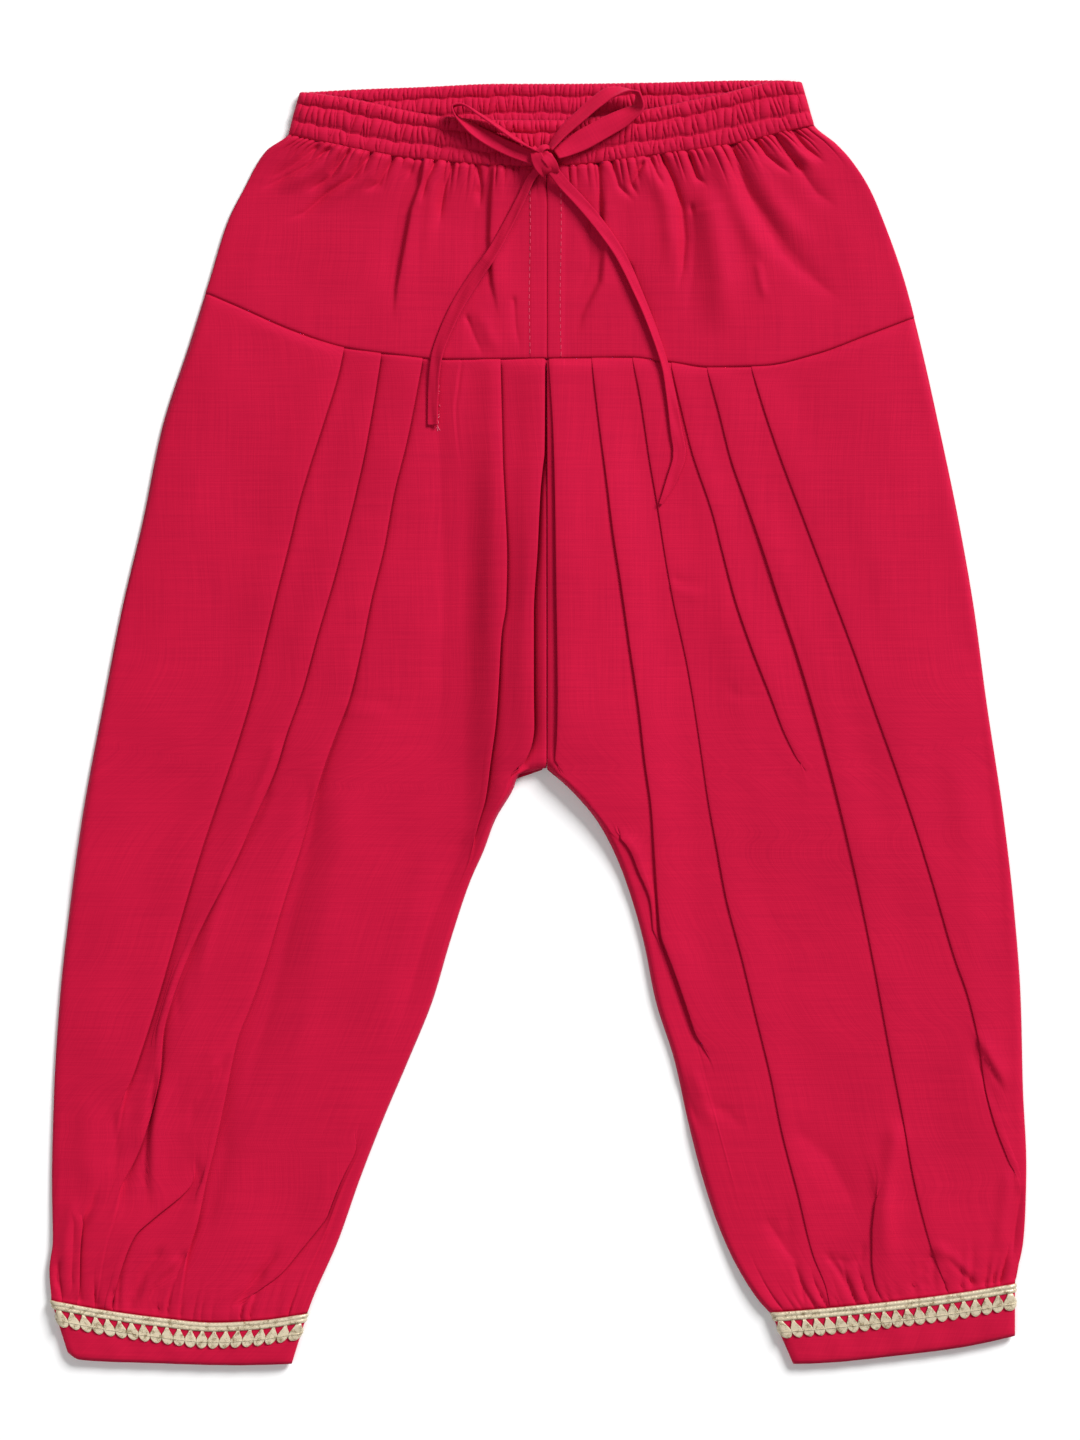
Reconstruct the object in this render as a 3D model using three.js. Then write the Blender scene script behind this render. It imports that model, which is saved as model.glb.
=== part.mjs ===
// Child's pleated cotton trousers with a drawstring waist and gold lace cuffs, laid flat
// Millimetres. X runs across the garment, Y towards the waist, Z up from the surface that it lies on.
// Left and right are as seen from above. Y 0 is half way along the garment, X 0 half way across.
import * as THREE from 'three';

// Driving dimensions
const wall = 1.0;
const backWall = 1.2;
const seamGap = 0.3;
const crossSeamHalfGap = 0.32;
const hemGap = 0.6;
const layerStep = wall + seamGap;
const frontRest = backWall + seamGap + wall / 2;
const pleatDepthAtYoke = 7;
const pleatDepthAtHem = 4;
const hemRest = 4.1;
const hemEdgeDrop = 0.9;
const backHemLift = 1.0;
const yokeWaistRest = 4.9;
const yokeSeamRest = 4.2;
const yokeMiddleRest = 2.5;
const edgeRoll = 12;
const bandGathers = 58;
const bandHeight = 19;
const yokeGathersPerHalf = 14;
const cuffBottomZ = 1.1;
const cuffTopZ = 4.9;
const laceWall = 0.8;
const laceHeight = 11;
const laceScallopDepth = 3;
const laceScallops = 21;
const cuffLip = 0.6;
const tapeWidth = 7;
const tapeThickness = 1.2;

// A short table: each row becomes an object with the named columns
function table(columns, rows) {
  return rows.map((row) => Object.fromEntries(columns.map((name, i) => [name, row[i]])));
}

// The side edges of the garment, height against place across it
const leftSide = table(['y', 'x'], [
  [283, -107], [264.5, -112], [257, -122], [240, -132], [226, -139], [199, -147.5], [172, -156],
  [132, -169], [91, -177.5], [51, -187], [10, -195], [-44, -205], [-84, -210.5], [-125, -215],
  [-165, -217.5], [-206, -218.5], [-233, -218], [-246, -219.5], [-261, -218.5],
]);
const rightSide = table(['y', 'x'], [
  [287.5, 118.5], [275, 121.5], [268.5, 124], [260, 134], [253, 140.5], [240, 149], [226, 155],
  [199, 164.5], [172, 171.5], [132, 180.5], [91, 189], [51, 196], [10, 201.5], [-44, 209.5],
  [-84, 214], [-125, 217], [-165, 218], [-199, 219.5], [-219, 219], [-233, 218], [-246, 215.5],
  [-253, 214],
]);

// The inner leg edges, from the centre seam through the crotch to the cuffs
const leftInner = table(['y', 'x'], [
  [-21.5, 3.85], [-22.5, -7.7], [-30.5, -11.5], [-44, -19.5], [-57.5, -24.5], [-71, -30.5],
  [-98, -39.5], [-125, -47.5], [-152, -58.5], [-179, -70], [-206, -80.5], [-233, -90],
  [-258, -101], [-266, -104],
]);
const rightInner = table(['y', 'x'], [
  [-21.5, 4.15], [-30.5, 15], [-44, 26.5], [-57.5, 34], [-71, 39.5], [-98, 47.5], [-125, 53],
  [-152, 61.5], [-179, 67.5], [-206, 74.5], [-233, 84], [-258, 98], [-266, 105],
]);

// Seams that run across the garment, place against height
const bandTop = table(['x', 'y'], [
  [-107, 283], [-94, 281.5], [-79, 279], [-61, 275], [-44, 273], [-15, 271.5], [10, 271.5],
  [28, 273], [48, 275.5], [68, 279], [82, 281.5], [96, 284.5], [108, 287], [118.5, 287.5],
]);
const waistSeam = table(['x', 'y'], [
  [-112, 264.5], [-93, 260], [-79, 257], [-61, 254], [-44, 252.5], [-12, 250], [14, 250.5],
  [38, 253], [59, 256], [76, 258], [97, 262], [109, 265], [124, 268.5],
]);
const backBandTop = table(['x', 'y'], [
  [-107, 283], [-80, 284.5], [-53, 285.5], [-17, 287], [10, 287], [50, 287.5], [95, 288],
  [108, 288.5], [118.5, 287.5],
]);
const yokeSeam = table(['x', 'y'], [
  [-149, 193], [-134, 186.5], [-110, 176], [-87, 168.5], [-67, 165.5], [-40, 163], [4, 163.5],
  [40, 164], [58, 162], [78, 159.5], [100, 160], [125, 165.5], [148, 174], [169, 182],
]);

// Cuffs: top and bottom edges
const leftCuffTop = table(['x', 'y'], [
  [-218.5, -260], [-197, -264], [-172, -267.5], [-145, -270], [-125, -269], [-104, -266],
]);
const leftCuffBottom = table(['x', 'y'], [
  [-211, -283], [-174, -287.5], [-135, -288.5], [-111, -288],
]);
const rightCuffTop = table(['x', 'y'], [
  [105, -265.5], [124, -264], [163, -260], [190, -256.5], [214, -252.5],
]);
const rightCuffBottom = table(['x', 'y'], [
  [115, -288], [128, -287.5], [163, -284], [214, -275.5],
]);

// Knife pleats: a row for each point of the fold edge, from the yoke seam down
const leftPleats = [
  { foldedTo: -90, edge: table(['y', 'x'], [[168, -87], [135, -96], [97, -108], [62, -116],
    [13, -128], [-27, -141], [-76, -157.5], [-133, -173.5], [-180, -185], [-225, -198]]) },
  { foldedTo: -120, edge: table(['y', 'x'], [[164, -71], [121, -78], [83, -87], [55, -95.5],
    [16, -105.5], [-19, -117], [-47, -129], [-73, -141], [-103, -156.5], [-138, -168],
    [-190, -178], [-225, -191]]) },
  { foldedTo: -155, edge: table(['y', 'x'], [[163, -52], [127, -59], [78, -69], [55, -75],
    [11, -84.5], [-22, -97], [-59, -107.5], [-83, -115], [-142, -135], [-187, -144.5],
    [-225, -153], [-260, -165]]) },
  { foldedTo: 90, edge: table(['y', 'x'], [[161, -34], [141, -36], [106, -29.5], [63, -25],
    [32, -24.5], [1, -26.5], [-46, -29.5]]) },
  { foldedTo: -10, edge: table(['y', 'x'], [[163, -17], [115, -16], [74, -14], [39, -16.5],
    [0, -19], [-17, -21.5], [-42, -26], [-58, -27.5]]) },
  { foldedTo: -15, edge: table(['y', 'x'], [[163, 3.5], [122, 3.5], [104, 1.5], [78, 0],
    [48, -2], [10, -2], [-10, -3], [-16, -5.5], [-22, -7.5]]) },
];
const rightPleats = [
  { foldedTo: -130, edge: table(['y', 'x'], [[159, 96], [115, 110.5], [69.5, 128], [30, 142.5],
    [-20, 161], [-70, 177], [-107, 187.5], [-142, 198.5], [-167, 208], [-225, 206]]) },
  { foldedTo: -155, edge: table(['y', 'x'], [[159, 76], [119, 86.5], [78, 101], [30, 116.5],
    [-25, 132.5], [-76, 144.5], [-127, 154.5], [-177, 164], [-226, 174.5], [-255, 185.5]]) },
  { foldedTo: 0, edge: table(['y', 'x'], [[160, 60], [121, 69.5], [77, 83], [34, 96], [-4, 110.5],
    [-25, 118.5], [-100, 127], [-200, 142]]) },
  { foldedTo: -155, edge: table(['y', 'x'], [[163, 42.5], [116, 50.5], [75, 57], [26, 67],
    [-13, 73.5], [-56, 80.5], [-107, 92.5], [-160, 105], [-212, 117], [-254, 130.5]]) },
  { foldedTo: -125, edge: table(['y', 'x'], [[164, 24], [110, 30.5], [67, 36.5], [36, 41],
    [-17, 48], [-64, 52.5], [-98, 55.5], [-122, 63], [-150, 73], [-225, 95]]) },
  { foldedTo: -15, edge: table(['y', 'x'], [[163, 4.5], [127, 7], [73, 8], [10, 9], [-17, 8]]) },
];

// Rows of the leg panels, as fractions of the way from the yoke seam to the cuff.
// The two close rows form the corner of the crotch.
const crotchRow = 0.4323;
const legRows = [0, 0.05, 0.13, 0.21, 0.29, 0.36, 0.405, crotchRow, 0.4356, 0.5, 0.57, 0.64, 0.72,
  0.8, 0.87, 0.935, 1];
const hemStart = 0.87;
const outerColumns = [0, 0.02, 0.2, 0.4, 0.6, 0.8];

// The drawstring: the middle line of the tape, from the knot outwards
const leftTailRoute = table(['x', 'y', 'z'], [
  [-0.8, 244.2, 8.7], [-3.5, 239.5, 7.6], [-7, 233.5, 6.6], [-12.5, 224, 5.3], [-21.5, 207, 4.7],
  [-33, 190, 4.8], [-41, 172, 5.4], [-46.5, 158, 6.2], [-48, 145, 6.0], [-48.5, 131, 5.9],
]);
const rightTailRoute = table(['x', 'y', 'z'], [
  [8.2, 244.4, 8.7], [11.5, 240.5, 7.8], [16, 236, 6.9], [24, 228, 5.6], [37, 208, 4.7],
  [46, 190, 4.8], [53, 170, 5.5], [57.5, 158, 6.2], [60, 145, 6.0], [62, 131, 6.0],
  [63.5, 121, 6.0], [60, 109, 6.0], [54, 96, 6.0],
]);
const leftLoopRoute = table(['x', 'y', 'z'], [
  [-3.0, 253.0, 9.6], [-13, 257, 9.6], [-22, 261.5, 9.6], [-31, 267, 9.6], [-37, 272, 9.6],
  [-38.5, 276, 9.6], [-35, 277, 9.6], [-26, 272, 9.6], [-17, 266, 9.6], [-9, 260.5, 9.6],
  [-1.9, 255.8, 9.6],
]);
const rightLoopRoute = table(['x', 'y', 'z'], [
  [6, 258.2, 9.6], [12, 265.5, 9.6], [20, 273, 9.6], [28, 280.5, 9.6], [34, 285, 9.6],
  [41, 286, 9.6], [48, 283.5, 9.6], [48, 277.5, 9.6], [41, 273, 9.6], [32, 268.5, 9.6],
  [22, 263, 9.6], [14.5, 258, 9.6], [10.3, 255.3, 9.6],
]);
const knotCentre = new THREE.Vector3(4, 250.5, 9.5);
const knotSize = new THREE.Vector3(14, 15, 7.6);

const lerp = THREE.MathUtils.lerp;
const clamp = THREE.MathUtils.clamp;

// Reads a table between its rows
function at(rows, from, to, value) {
  const rising = rows[0][from] < rows[rows.length - 1][from];
  const ordered = rising ? rows : [...rows].reverse();
  if (value <= ordered[0][from]) return ordered[0][to];
  for (let i = 1; i < ordered.length; i += 1) {
    const low = ordered[i - 1];
    const high = ordered[i];
    if (value <= high[from]) {
      return lerp(low[to], high[to], (value - low[from]) / (high[from] - low[from]));
    }
  }
  return ordered[ordered.length - 1][to];
}

// One side of the garment in its own direction s, which grows from the outer edge to the centre.
// On the left s is X, on the right it is minus X.
const sides = {
  left: {
    sign: 1,
    outer: (y) => at(leftSide, 'y', 'x', y),
    inner: (y) => at(leftInner, 'y', 'x', y),
    cuffTop: leftCuffTop,
    cuffBottom: leftCuffBottom,
    pleats: leftPleats,
  },
  right: {
    sign: -1,
    outer: (y) => -at(rightSide, 'y', 'x', y),
    inner: (y) => -at(rightInner, 'y', 'x', y),
    cuffTop: rightCuffTop,
    cuffBottom: rightCuffBottom,
    pleats: rightPleats,
  },
};

// Height of a cross seam at the fraction u of the way from the outer edge to the inner one
function seamHeight(side, seam, u) {
  let y = seam[Math.floor(seam.length / 2)].y;
  for (let pass = 0; pass < 5; pass += 1) {
    const s = lerp(side.outer(y), side.inner(y), u);
    y = at(seam, 'x', 'y', side.sign * s);
  }
  return y;
}

// A strip of the garment between two cross seams: y on it at the fractions u across and v down
function stripHeight(side, strip, u, v) {
  const top = seamHeight(side, strip.top, u) + strip.topShift;
  const bottom = seamHeight(side, strip.bottom, u) + strip.bottomShift;
  return lerp(top, bottom, v);
}

// y on a row of the strip at the place s
function rowHeight(side, strip, v, s) {
  let y = stripHeight(side, strip, 0.5, v);
  for (let pass = 0; pass < 5; pass += 1) {
    const u = clamp((s - side.outer(y)) / (side.inner(y) - side.outer(y)), 0, 1);
    y = stripHeight(side, strip, u, v);
  }
  return y;
}

// Closed shell from two grids of points with the same rows and columns, one face above the other
function shell(upper, lower, mirrored) {
  const positions = [];
  const rowCount = upper.length;
  const columnCount = upper[0].length;
  for (const grid of [upper, lower]) {
    for (const row of grid) {
      for (const point of row) positions.push(point.x, point.y, point.z);
    }
  }
  const faces = [];
  const top = (r, c) => r * columnCount + c;
  const bottom = (r, c) => rowCount * columnCount + r * columnCount + c;
  const quad = (a, b, c, d) => faces.push([a, b, c], [a, c, d]);
  for (let r = 0; r < rowCount - 1; r += 1) {
    for (let c = 0; c < columnCount - 1; c += 1) {
      quad(top(r, c), top(r + 1, c), top(r + 1, c + 1), top(r, c + 1));
      quad(bottom(r, c), bottom(r, c + 1), bottom(r + 1, c + 1), bottom(r + 1, c));
    }
    const last = columnCount - 1;
    quad(top(r, 0), bottom(r, 0), bottom(r + 1, 0), top(r + 1, 0));
    quad(top(r, last), top(r + 1, last), bottom(r + 1, last), bottom(r, last));
  }
  for (let c = 0; c < columnCount - 1; c += 1) {
    const last = rowCount - 1;
    quad(top(0, c), top(0, c + 1), bottom(0, c + 1), bottom(0, c));
    quad(top(last, c), bottom(last, c), bottom(last, c + 1), top(last, c + 1));
  }
  return geometryOf(positions, faces, mirrored);
}

// Closed shell with a full upper grid over a lower face that has only a first and a last row
function backedShell(upper, lower) {
  const positions = [];
  const columnCount = upper[0].length;
  const last = columnCount - 1;
  const lastRow = upper.length - 1;
  for (const grid of [upper, lower]) {
    for (const row of grid) {
      for (const point of row) positions.push(point.x, point.y, point.z);
    }
  }
  const faces = [];
  const top = (r, c) => r * columnCount + c;
  const bottom = (r, c) => upper.length * columnCount + r * columnCount + c;
  const quad = (a, b, c, d) => faces.push([a, b, c], [a, c, d]);
  for (let c = 0; c < last; c += 1) {
    for (let r = 0; r < lastRow; r += 1) {
      quad(top(r, c), top(r + 1, c), top(r + 1, c + 1), top(r, c + 1));
    }
    quad(bottom(0, c), bottom(0, c + 1), bottom(1, c + 1), bottom(1, c));
    quad(top(0, c), top(0, c + 1), bottom(0, c + 1), bottom(0, c));
    quad(top(lastRow, c), bottom(1, c), bottom(1, c + 1), top(lastRow, c + 1));
  }
  for (let r = 0; r < lastRow; r += 1) {
    faces.push([bottom(0, 0), top(r + 1, 0), top(r, 0)]);
    faces.push([bottom(0, last), top(r, last), top(r + 1, last)]);
  }
  faces.push([bottom(0, 0), bottom(1, 0), top(lastRow, 0)]);
  faces.push([bottom(0, last), top(lastRow, last), bottom(1, last)]);
  return geometryOf(positions, faces, false);
}

// Closed wall around a flattened tube: outer and inner loops of points, one pair for each row
function ringShell(outerLoops, innerLoops) {
  const loops = [...outerLoops, ...[...innerLoops].reverse()];
  const count = loops[0].length;
  const positions = [];
  for (const loop of loops) {
    for (const point of loop) positions.push(point.x, point.y, point.z);
  }
  const faces = [];
  for (let r = 0; r < loops.length; r += 1) {
    const next = (r + 1) % loops.length;
    for (let c = 0; c < count; c += 1) {
      const d = (c + 1) % count;
      faces.push([r * count + c, next * count + c, next * count + d]);
      faces.push([r * count + c, next * count + d, r * count + d]);
    }
  }
  return geometryOf(positions, faces, false);
}

function geometryOf(positions, faces, mirrored) {
  const geometry = new THREE.BufferGeometry();
  const index = faces.flatMap(([a, b, c]) => (mirrored ? [a, c, b] : [a, b, c]));
  geometry.setAttribute('position', new THREE.Float32BufferAttribute(positions, 3));
  geometry.setIndex(index);
  geometry.computeVertexNormals();
  return geometry;
}

// Section of one knife pleat about its fold edge, from the panel that lies on top to the one below.
// s is measured from the fold edge, z from the rest height, and the last two values point out of
// the face that shows: the wall stands half its thickness to each side along them.
function foldedSection(depth) {
  return table(['s', 'z', 'outS', 'outZ'], [
    [-depth - 1, 2 * layerStep, 0, 1],
    [0, 2 * layerStep, 1, 1],
    [0, layerStep, 1, -1],
    [-depth, layerStep, 1, -1],
    [-depth, 0, 1, 1],
    [1.5, 0, 0, 1],
  ]);
}
const openingSection = table(['s', 'z', 'outS', 'outZ'], [
  [-1.5, 1.7, 0, 1],
  [0, 1.7, 1, 1],
  [0, 1.0, 1, 0],
  [0, 0.6, 1, 0],
  [0, 0, 1, 1],
  [1.5, 0, 0, 1],
]);
const releasedSection = table(['s', 'z', 'outS', 'outZ'], [
  [-2, 0.4, 0, 1],
  [0, 0.4, 0, 1],
  [0.6, 0.25, 0, 1],
  [1.2, 0.1, 0, 1],
  [1.8, 0, 0, 1],
  [3, 0, 0, 1],
]);
const releasedReach = 3;
const columnClearance = 0.4;
const foldToEdge = 1.2;

// Leg fronts: the pleated panels, with the gathers that the cuff draws together
const legStrip = (side) => ({
  top: yokeSeam, topShift: -crossSeamHalfGap, bottom: side.cuffTop, bottomShift: cuffLip + hemGap,
});

function pleatPlace(side, strip, pleat, v) {
  let y = stripHeight(side, strip, 0.5, v);
  let s = 0;
  for (let pass = 0; pass < 6; pass += 1) {
    s = side.sign * at(pleat.edge, 'y', 'x', y);
    y = rowHeight(side, strip, v, s);
  }
  return { s, y };
}

function legFrontRow(side, rowIndex, states) {
  const strip = legStrip(side);
  const v = legRows[rowIndex];
  const depth = lerp(pleatDepthAtYoke, pleatDepthAtHem, v);
  const innerS = side.inner(stripHeight(side, strip, 1, v));
  const outerS = side.outer(stripHeight(side, strip, 0, v));
  let limit = innerS - columnClearance;
  const pleatPoints = [];
  for (let i = side.pleats.length - 1; i >= 0; i -= 1) {
    const place = pleatPlace(side, strip, side.pleats[i], v);
    if (states[i] === 'folded' && place.y < side.pleats[i].foldedTo) states[i] = 'opening';
    else if (states[i] === 'opening') states[i] = 'released';
    let section = foldedSection(depth);
    let fold = Math.min(place.s, innerS - foldToEdge);
    if (states[i] === 'opening') section = openingSection;
    if (states[i] === 'released') {
      section = releasedSection;
      fold = Math.min(place.s, limit - releasedReach);
    }
    const points = section.map((p) => ({ ...p, s: Math.min(fold + p.s, limit) }));
    limit = points[0].s - columnClearance;
    pleatPoints.unshift(...points);
  }
  const first = pleatPoints[0];
  const outerPoints = outerColumns.map((part) => ({
    s: lerp(outerS, first.s, part), z: first.z * part, outS: 0, outZ: 1,
  }));
  const innerPoint = { s: innerS, z: 0, outS: 0, outZ: 1 };
  const points = [...outerPoints, ...pleatPoints, innerPoint];
  const spread = clamp((v - hemStart) / (1 - hemStart), 0, 1);
  return points.map((p, i) => {
    const even = lerp(outerS, innerS, i / (points.length - 1));
    const s = lerp(p.s, even, Math.min(1, spread * 1.6));
    const toEdge = Math.min(s - outerS, innerS - s) / edgeRoll;
    const edge = 1 - clamp(toEdge, 0, 1);
    const unevenness = 0.75 + 0.25 * Math.sin(1.7 * i);
    const wave = 0.8 * spread * (i % 2 ? 1 : -1) * unevenness * (1 - edge);
    const rest = lerp(frontRest, hemRest - hemEdgeDrop * edge, spread);
    return { ...p, s, y: rowHeight(side, strip, v, s), z: rest + p.z * (1 - spread) + wave };
  });
}

function legFront(side) {
  const states = side.pleats.map(() => 'folded');
  const rows = legRows.map((v, rowIndex) => legFrontRow(side, rowIndex, states));
  const face = (half) => rows.map((row) => row.map((p) => ({
    x: side.sign * (p.s + half * p.outS), y: p.y, z: p.z + half * p.outZ,
  })));
  return shell(face(wall / 2), face(-wall / 2), side.sign < 0);
}

// Leg backs: plain panels that lie on the surface and rise to the cuff at the hem
const backColumns = [0, 0.15, 0.32, 0.5, 0.68, 0.85, 1];

function legBack(side) {
  const strip = legStrip(side);
  const face = (height) => legRows.map((v) => backColumns.map((u) => {
    const y = stripHeight(side, strip, u, v);
    const s = lerp(side.outer(y), side.inner(y), u);
    const lift = backHemLift * clamp((v - 0.935) / 0.065, 0, 1);
    return { x: side.sign * s, y, z: height + lift };
  }));
  return shell(face(backWall), face(0), side.sign < 0);
}

// Yoke fronts: smooth panels whose gathers run down from the waist seam
function yokeFront(side) {
  const strip = {
    top: waistSeam, topShift: -crossSeamHalfGap, bottom: yokeSeam, bottomShift: crossSeamHalfGap,
  };
  const columnCount = 2 * yokeGathersPerHalf;
  const rowParts = [0, 0.12, 0.3, 0.55, 0.85, 1];
  const rows = rowParts.map((v) => Array.from({ length: columnCount + 1 }, (unused, i) => {
    const u = i / columnCount;
    const y = stripHeight(side, strip, u, v);
    const s = lerp(side.outer(y), side.inner(y), u);
    const edge = clamp((s - side.outer(y)) / edgeRoll, 0, 1);
    const fade = clamp(1 - v / 0.6, 0, 1);
    const wave = 0.8 * fade * (i % 2 ? 1 : -1) * (0.7 + 0.3 * Math.sin(2.3 * i));
    const towardsWaist = lerp(yokeMiddleRest, yokeWaistRest, clamp(1 - v / 0.35, 0, 1));
    const rest = lerp(towardsWaist, yokeSeamRest, clamp((v - 0.7) / 0.3, 0, 1));
    return { x: side.sign * s, y, z: lerp(frontRest, rest + wave, edge) };
  }));
  const face = (half) => rows.map((row) => row.map((p) => ({ ...p, z: p.z + half })));
  return shell(face(wall / 2), face(-wall / 2), side.sign < 0);
}

// Yoke back: one plain panel on the surface, from the back band to the leg backs
function yokeBack() {
  const farHalf = backColumns.slice(0, -1).reverse();
  const columns = [...backColumns.map((u) => u / 2), ...farHalf.map((u) => 1 - u / 2)];
  const rowParts = [0, 0.15, 0.3, 0.5, 0.75, 1];
  const span = (y) => ({ from: at(leftSide, 'y', 'x', y), to: at(rightSide, 'y', 'x', y) });
  const point = (u, v, z) => {
    let y = 200;
    let x = 0;
    for (let pass = 0; pass < 5; pass += 1) {
      const { from, to } = span(y);
      x = lerp(from, to, u);
      const top = at(backBandTop, 'x', 'y', x) - bandHeight - 2 * crossSeamHalfGap;
      const bottom = at(yokeSeam, 'x', 'y', x) + crossSeamHalfGap;
      y = lerp(top, bottom, v);
    }
    return { x, y, z };
  };
  const face = (z) => rowParts.map((v) => columns.map((u) => point(u, v, z)));
  return shell(face(backWall), face(0), false);
}

// Waistband: three rows of ruching over a plain inside, between its top edge and the waist seam.
// Each line is a fraction of the way down, with its height over the inside and how far it ripples.
const bandLines = table(['v', 'height', 'ripple'], [
  [0, 1.5, 0.3],
  [0.27, 1.1, 0.15],
  [0.46, 2.1, 0.65],
  [0.65, 1.1, 0.15],
  [0.83, 1.9, 0.6],
  [1, 1.2, 0.25],
]);
const bandEdgeRoll = 9;

function band(topEdge, bottomEdge, insideZ, insideEdgeZ) {
  const columnCount = 2 * bandGathers;
  const point = (i, v, height) => {
    const u = i / columnCount;
    const topX = lerp(topEdge[0].x, topEdge[topEdge.length - 1].x, u);
    const bottomX = lerp(waistSeam[0].x, waistSeam[waistSeam.length - 1].x, u);
    const x = lerp(topX, bottomX, v);
    const y = lerp(at(topEdge, 'x', 'y', topX), bottomEdge(bottomX, topX), v);
    const inwards = Math.min(topX - topEdge[0].x, topEdge[topEdge.length - 1].x - topX);
    const edge = clamp(inwards / bandEdgeRoll, 0, 1);
    return { x, y, z: lerp(insideEdgeZ, insideZ, edge) + height * lerp(0.75, 1, edge) };
  };
  const columns = Array.from({ length: columnCount + 1 }, (unused, i) => i);
  const upper = bandLines.map((line) => columns.map((i) => {
    const ripple = line.ripple * (i % 2 ? 1 : -1) * (0.75 + 0.25 * Math.sin(1.9 * i));
    return point(i, line.v, line.height + ripple);
  }));
  const lower = [0, 1].map((v) => columns.map((i) => point(i, v, 0)));
  return backedShell(upper, lower);
}

// Loop of places around a flattened tube: along its front, round one side and back underneath.
// across is the fraction of the width, and over is 1 on the front and -1 on the back.
function loopPlaces(stepsPerSide) {
  const front = Array.from({ length: stepsPerSide + 1 }, (unused, i) => ({
    across: i / stepsPerSide, over: 1, inset: i === 0 || i === stepsPerSide ? 1 : 0,
  }));
  const back = [...front].reverse().map((place) => ({ ...place, over: -1 }));
  const rightEnd = { across: 1, over: 0, inset: 0 };
  const leftEnd = { across: 0, over: 0, inset: 0 };
  return [...front, rightEnd, ...back, leftEnd];
}

// Places on a cuff at the fraction v down it, pushed out by grow all round
function cuffLoop(side, places, grow, drop) {
  const topEdge = side.cuffTop;
  const bottomEdge = side.cuffBottom;
  const middleZ = (cuffTopZ + cuffBottomZ) / 2;
  const halfHeight = (cuffTopZ - cuffBottomZ) / 2;
  const endRound = 1.2;
  return places.map((place, i) => {
    const fromTop = drop(place, i);
    const topX = lerp(topEdge[0].x, topEdge[topEdge.length - 1].x, place.across);
    const bottomX = lerp(bottomEdge[0].x, bottomEdge[bottomEdge.length - 1].x, place.across);
    const topY = at(topEdge, 'x', 'y', topX) + cuffLip;
    const bottomY = at(bottomEdge, 'x', 'y', bottomX);
    const v = fromTop / (topY - bottomY);
    const outwards = (place.across - 0.5) * 2;
    const atEnd = place.inset || place.over === 0 ? 1 : 0;
    const x = lerp(topX, bottomX, v) + atEnd * Math.sign(outwards) * (grow - place.inset * endRound);
    return { x, y: topY - fromTop, z: middleZ + place.over * (halfHeight + grow) };
  });
}

function cuff(side) {
  const places = loopPlaces(18);
  const whole = (place) => {
    const topEdge = side.cuffTop;
    const bottomEdge = side.cuffBottom;
    const topX = lerp(topEdge[0].x, topEdge[topEdge.length - 1].x, place.across);
    const bottomX = lerp(bottomEdge[0].x, bottomEdge[bottomEdge.length - 1].x, place.across);
    return at(topEdge, 'x', 'y', topX) + cuffLip - at(bottomEdge, 'x', 'y', bottomX);
  };
  const rows = [() => 0, (place) => whole(place) / 2, whole];
  const loops = (grow) => rows.map((drop) => cuffLoop(side, places, grow, drop));
  return ringShell(loops(0), loops(-wall));
}

// Lace: a strip round the top of the cuff, with a row of scallops along its lower edge
function lace(side) {
  const pointsPerScallop = 4;
  const places = loopPlaces(laceScallops * pointsPerScallop);
  const arc = [0, 0.8, 1, 0.8];
  const upperEdge = () => cuffLip;
  const lowerEdge = (place) => {
    const step = Math.round(place.across * laceScallops * pointsPerScallop);
    return cuffLip + laceHeight - laceScallopDepth * (1 - arc[step % pointsPerScallop]);
  };
  const loops = (grow) => [upperEdge, lowerEdge].map((drop) => cuffLoop(side, places, grow, drop));
  return ringShell(loops(seamGap + laceWall), loops(seamGap));
}

// Tape of the drawstring along its route, flat on the cloth or standing on its edge
function tape(route, steps, standing) {
  const points = route.map((p) => new THREE.Vector3(p.x, p.y, p.z));
  const half = { wide: tapeWidth / 2, thick: tapeThickness / 2 };
  const across = standing ? [half.wide, half.thick] : [half.thick, half.wide];
  const corners = [
    [1, 0.4], [1, -0.4], [0.8, -1], [-0.8, -1], [-1, -0.4], [-1, 0.4], [-0.8, 1], [0.8, 1],
  ].map(([a, b]) => new THREE.Vector2(a * across[0], b * across[1]));
  return new THREE.ExtrudeGeometry(new THREE.Shape(corners), {
    steps, bevelEnabled: false, extrudePath: new THREE.CatmullRomCurve3(points),
  });
}

function knot() {
  const geometry = new THREE.SphereGeometry(0.5, 14, 10);
  geometry.scale(knotSize.x, knotSize.y, knotSize.z);
  geometry.rotateZ(-0.35);
  geometry.translate(knotCentre.x, knotCentre.y, knotCentre.z);
  return geometry;
}

const cotton = { color: 0xcc1a40, roughness: 0.85, metalness: 0 };
const goldLace = { color: 0xcbb994, roughness: 0.45, metalness: 0.5 };

const garment = new THREE.Group();
function add(name, geometry, finish) {
  const mesh = new THREE.Mesh(geometry, new THREE.MeshStandardMaterial(finish));
  mesh.name = name;
  garment.add(mesh);
}

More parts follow.
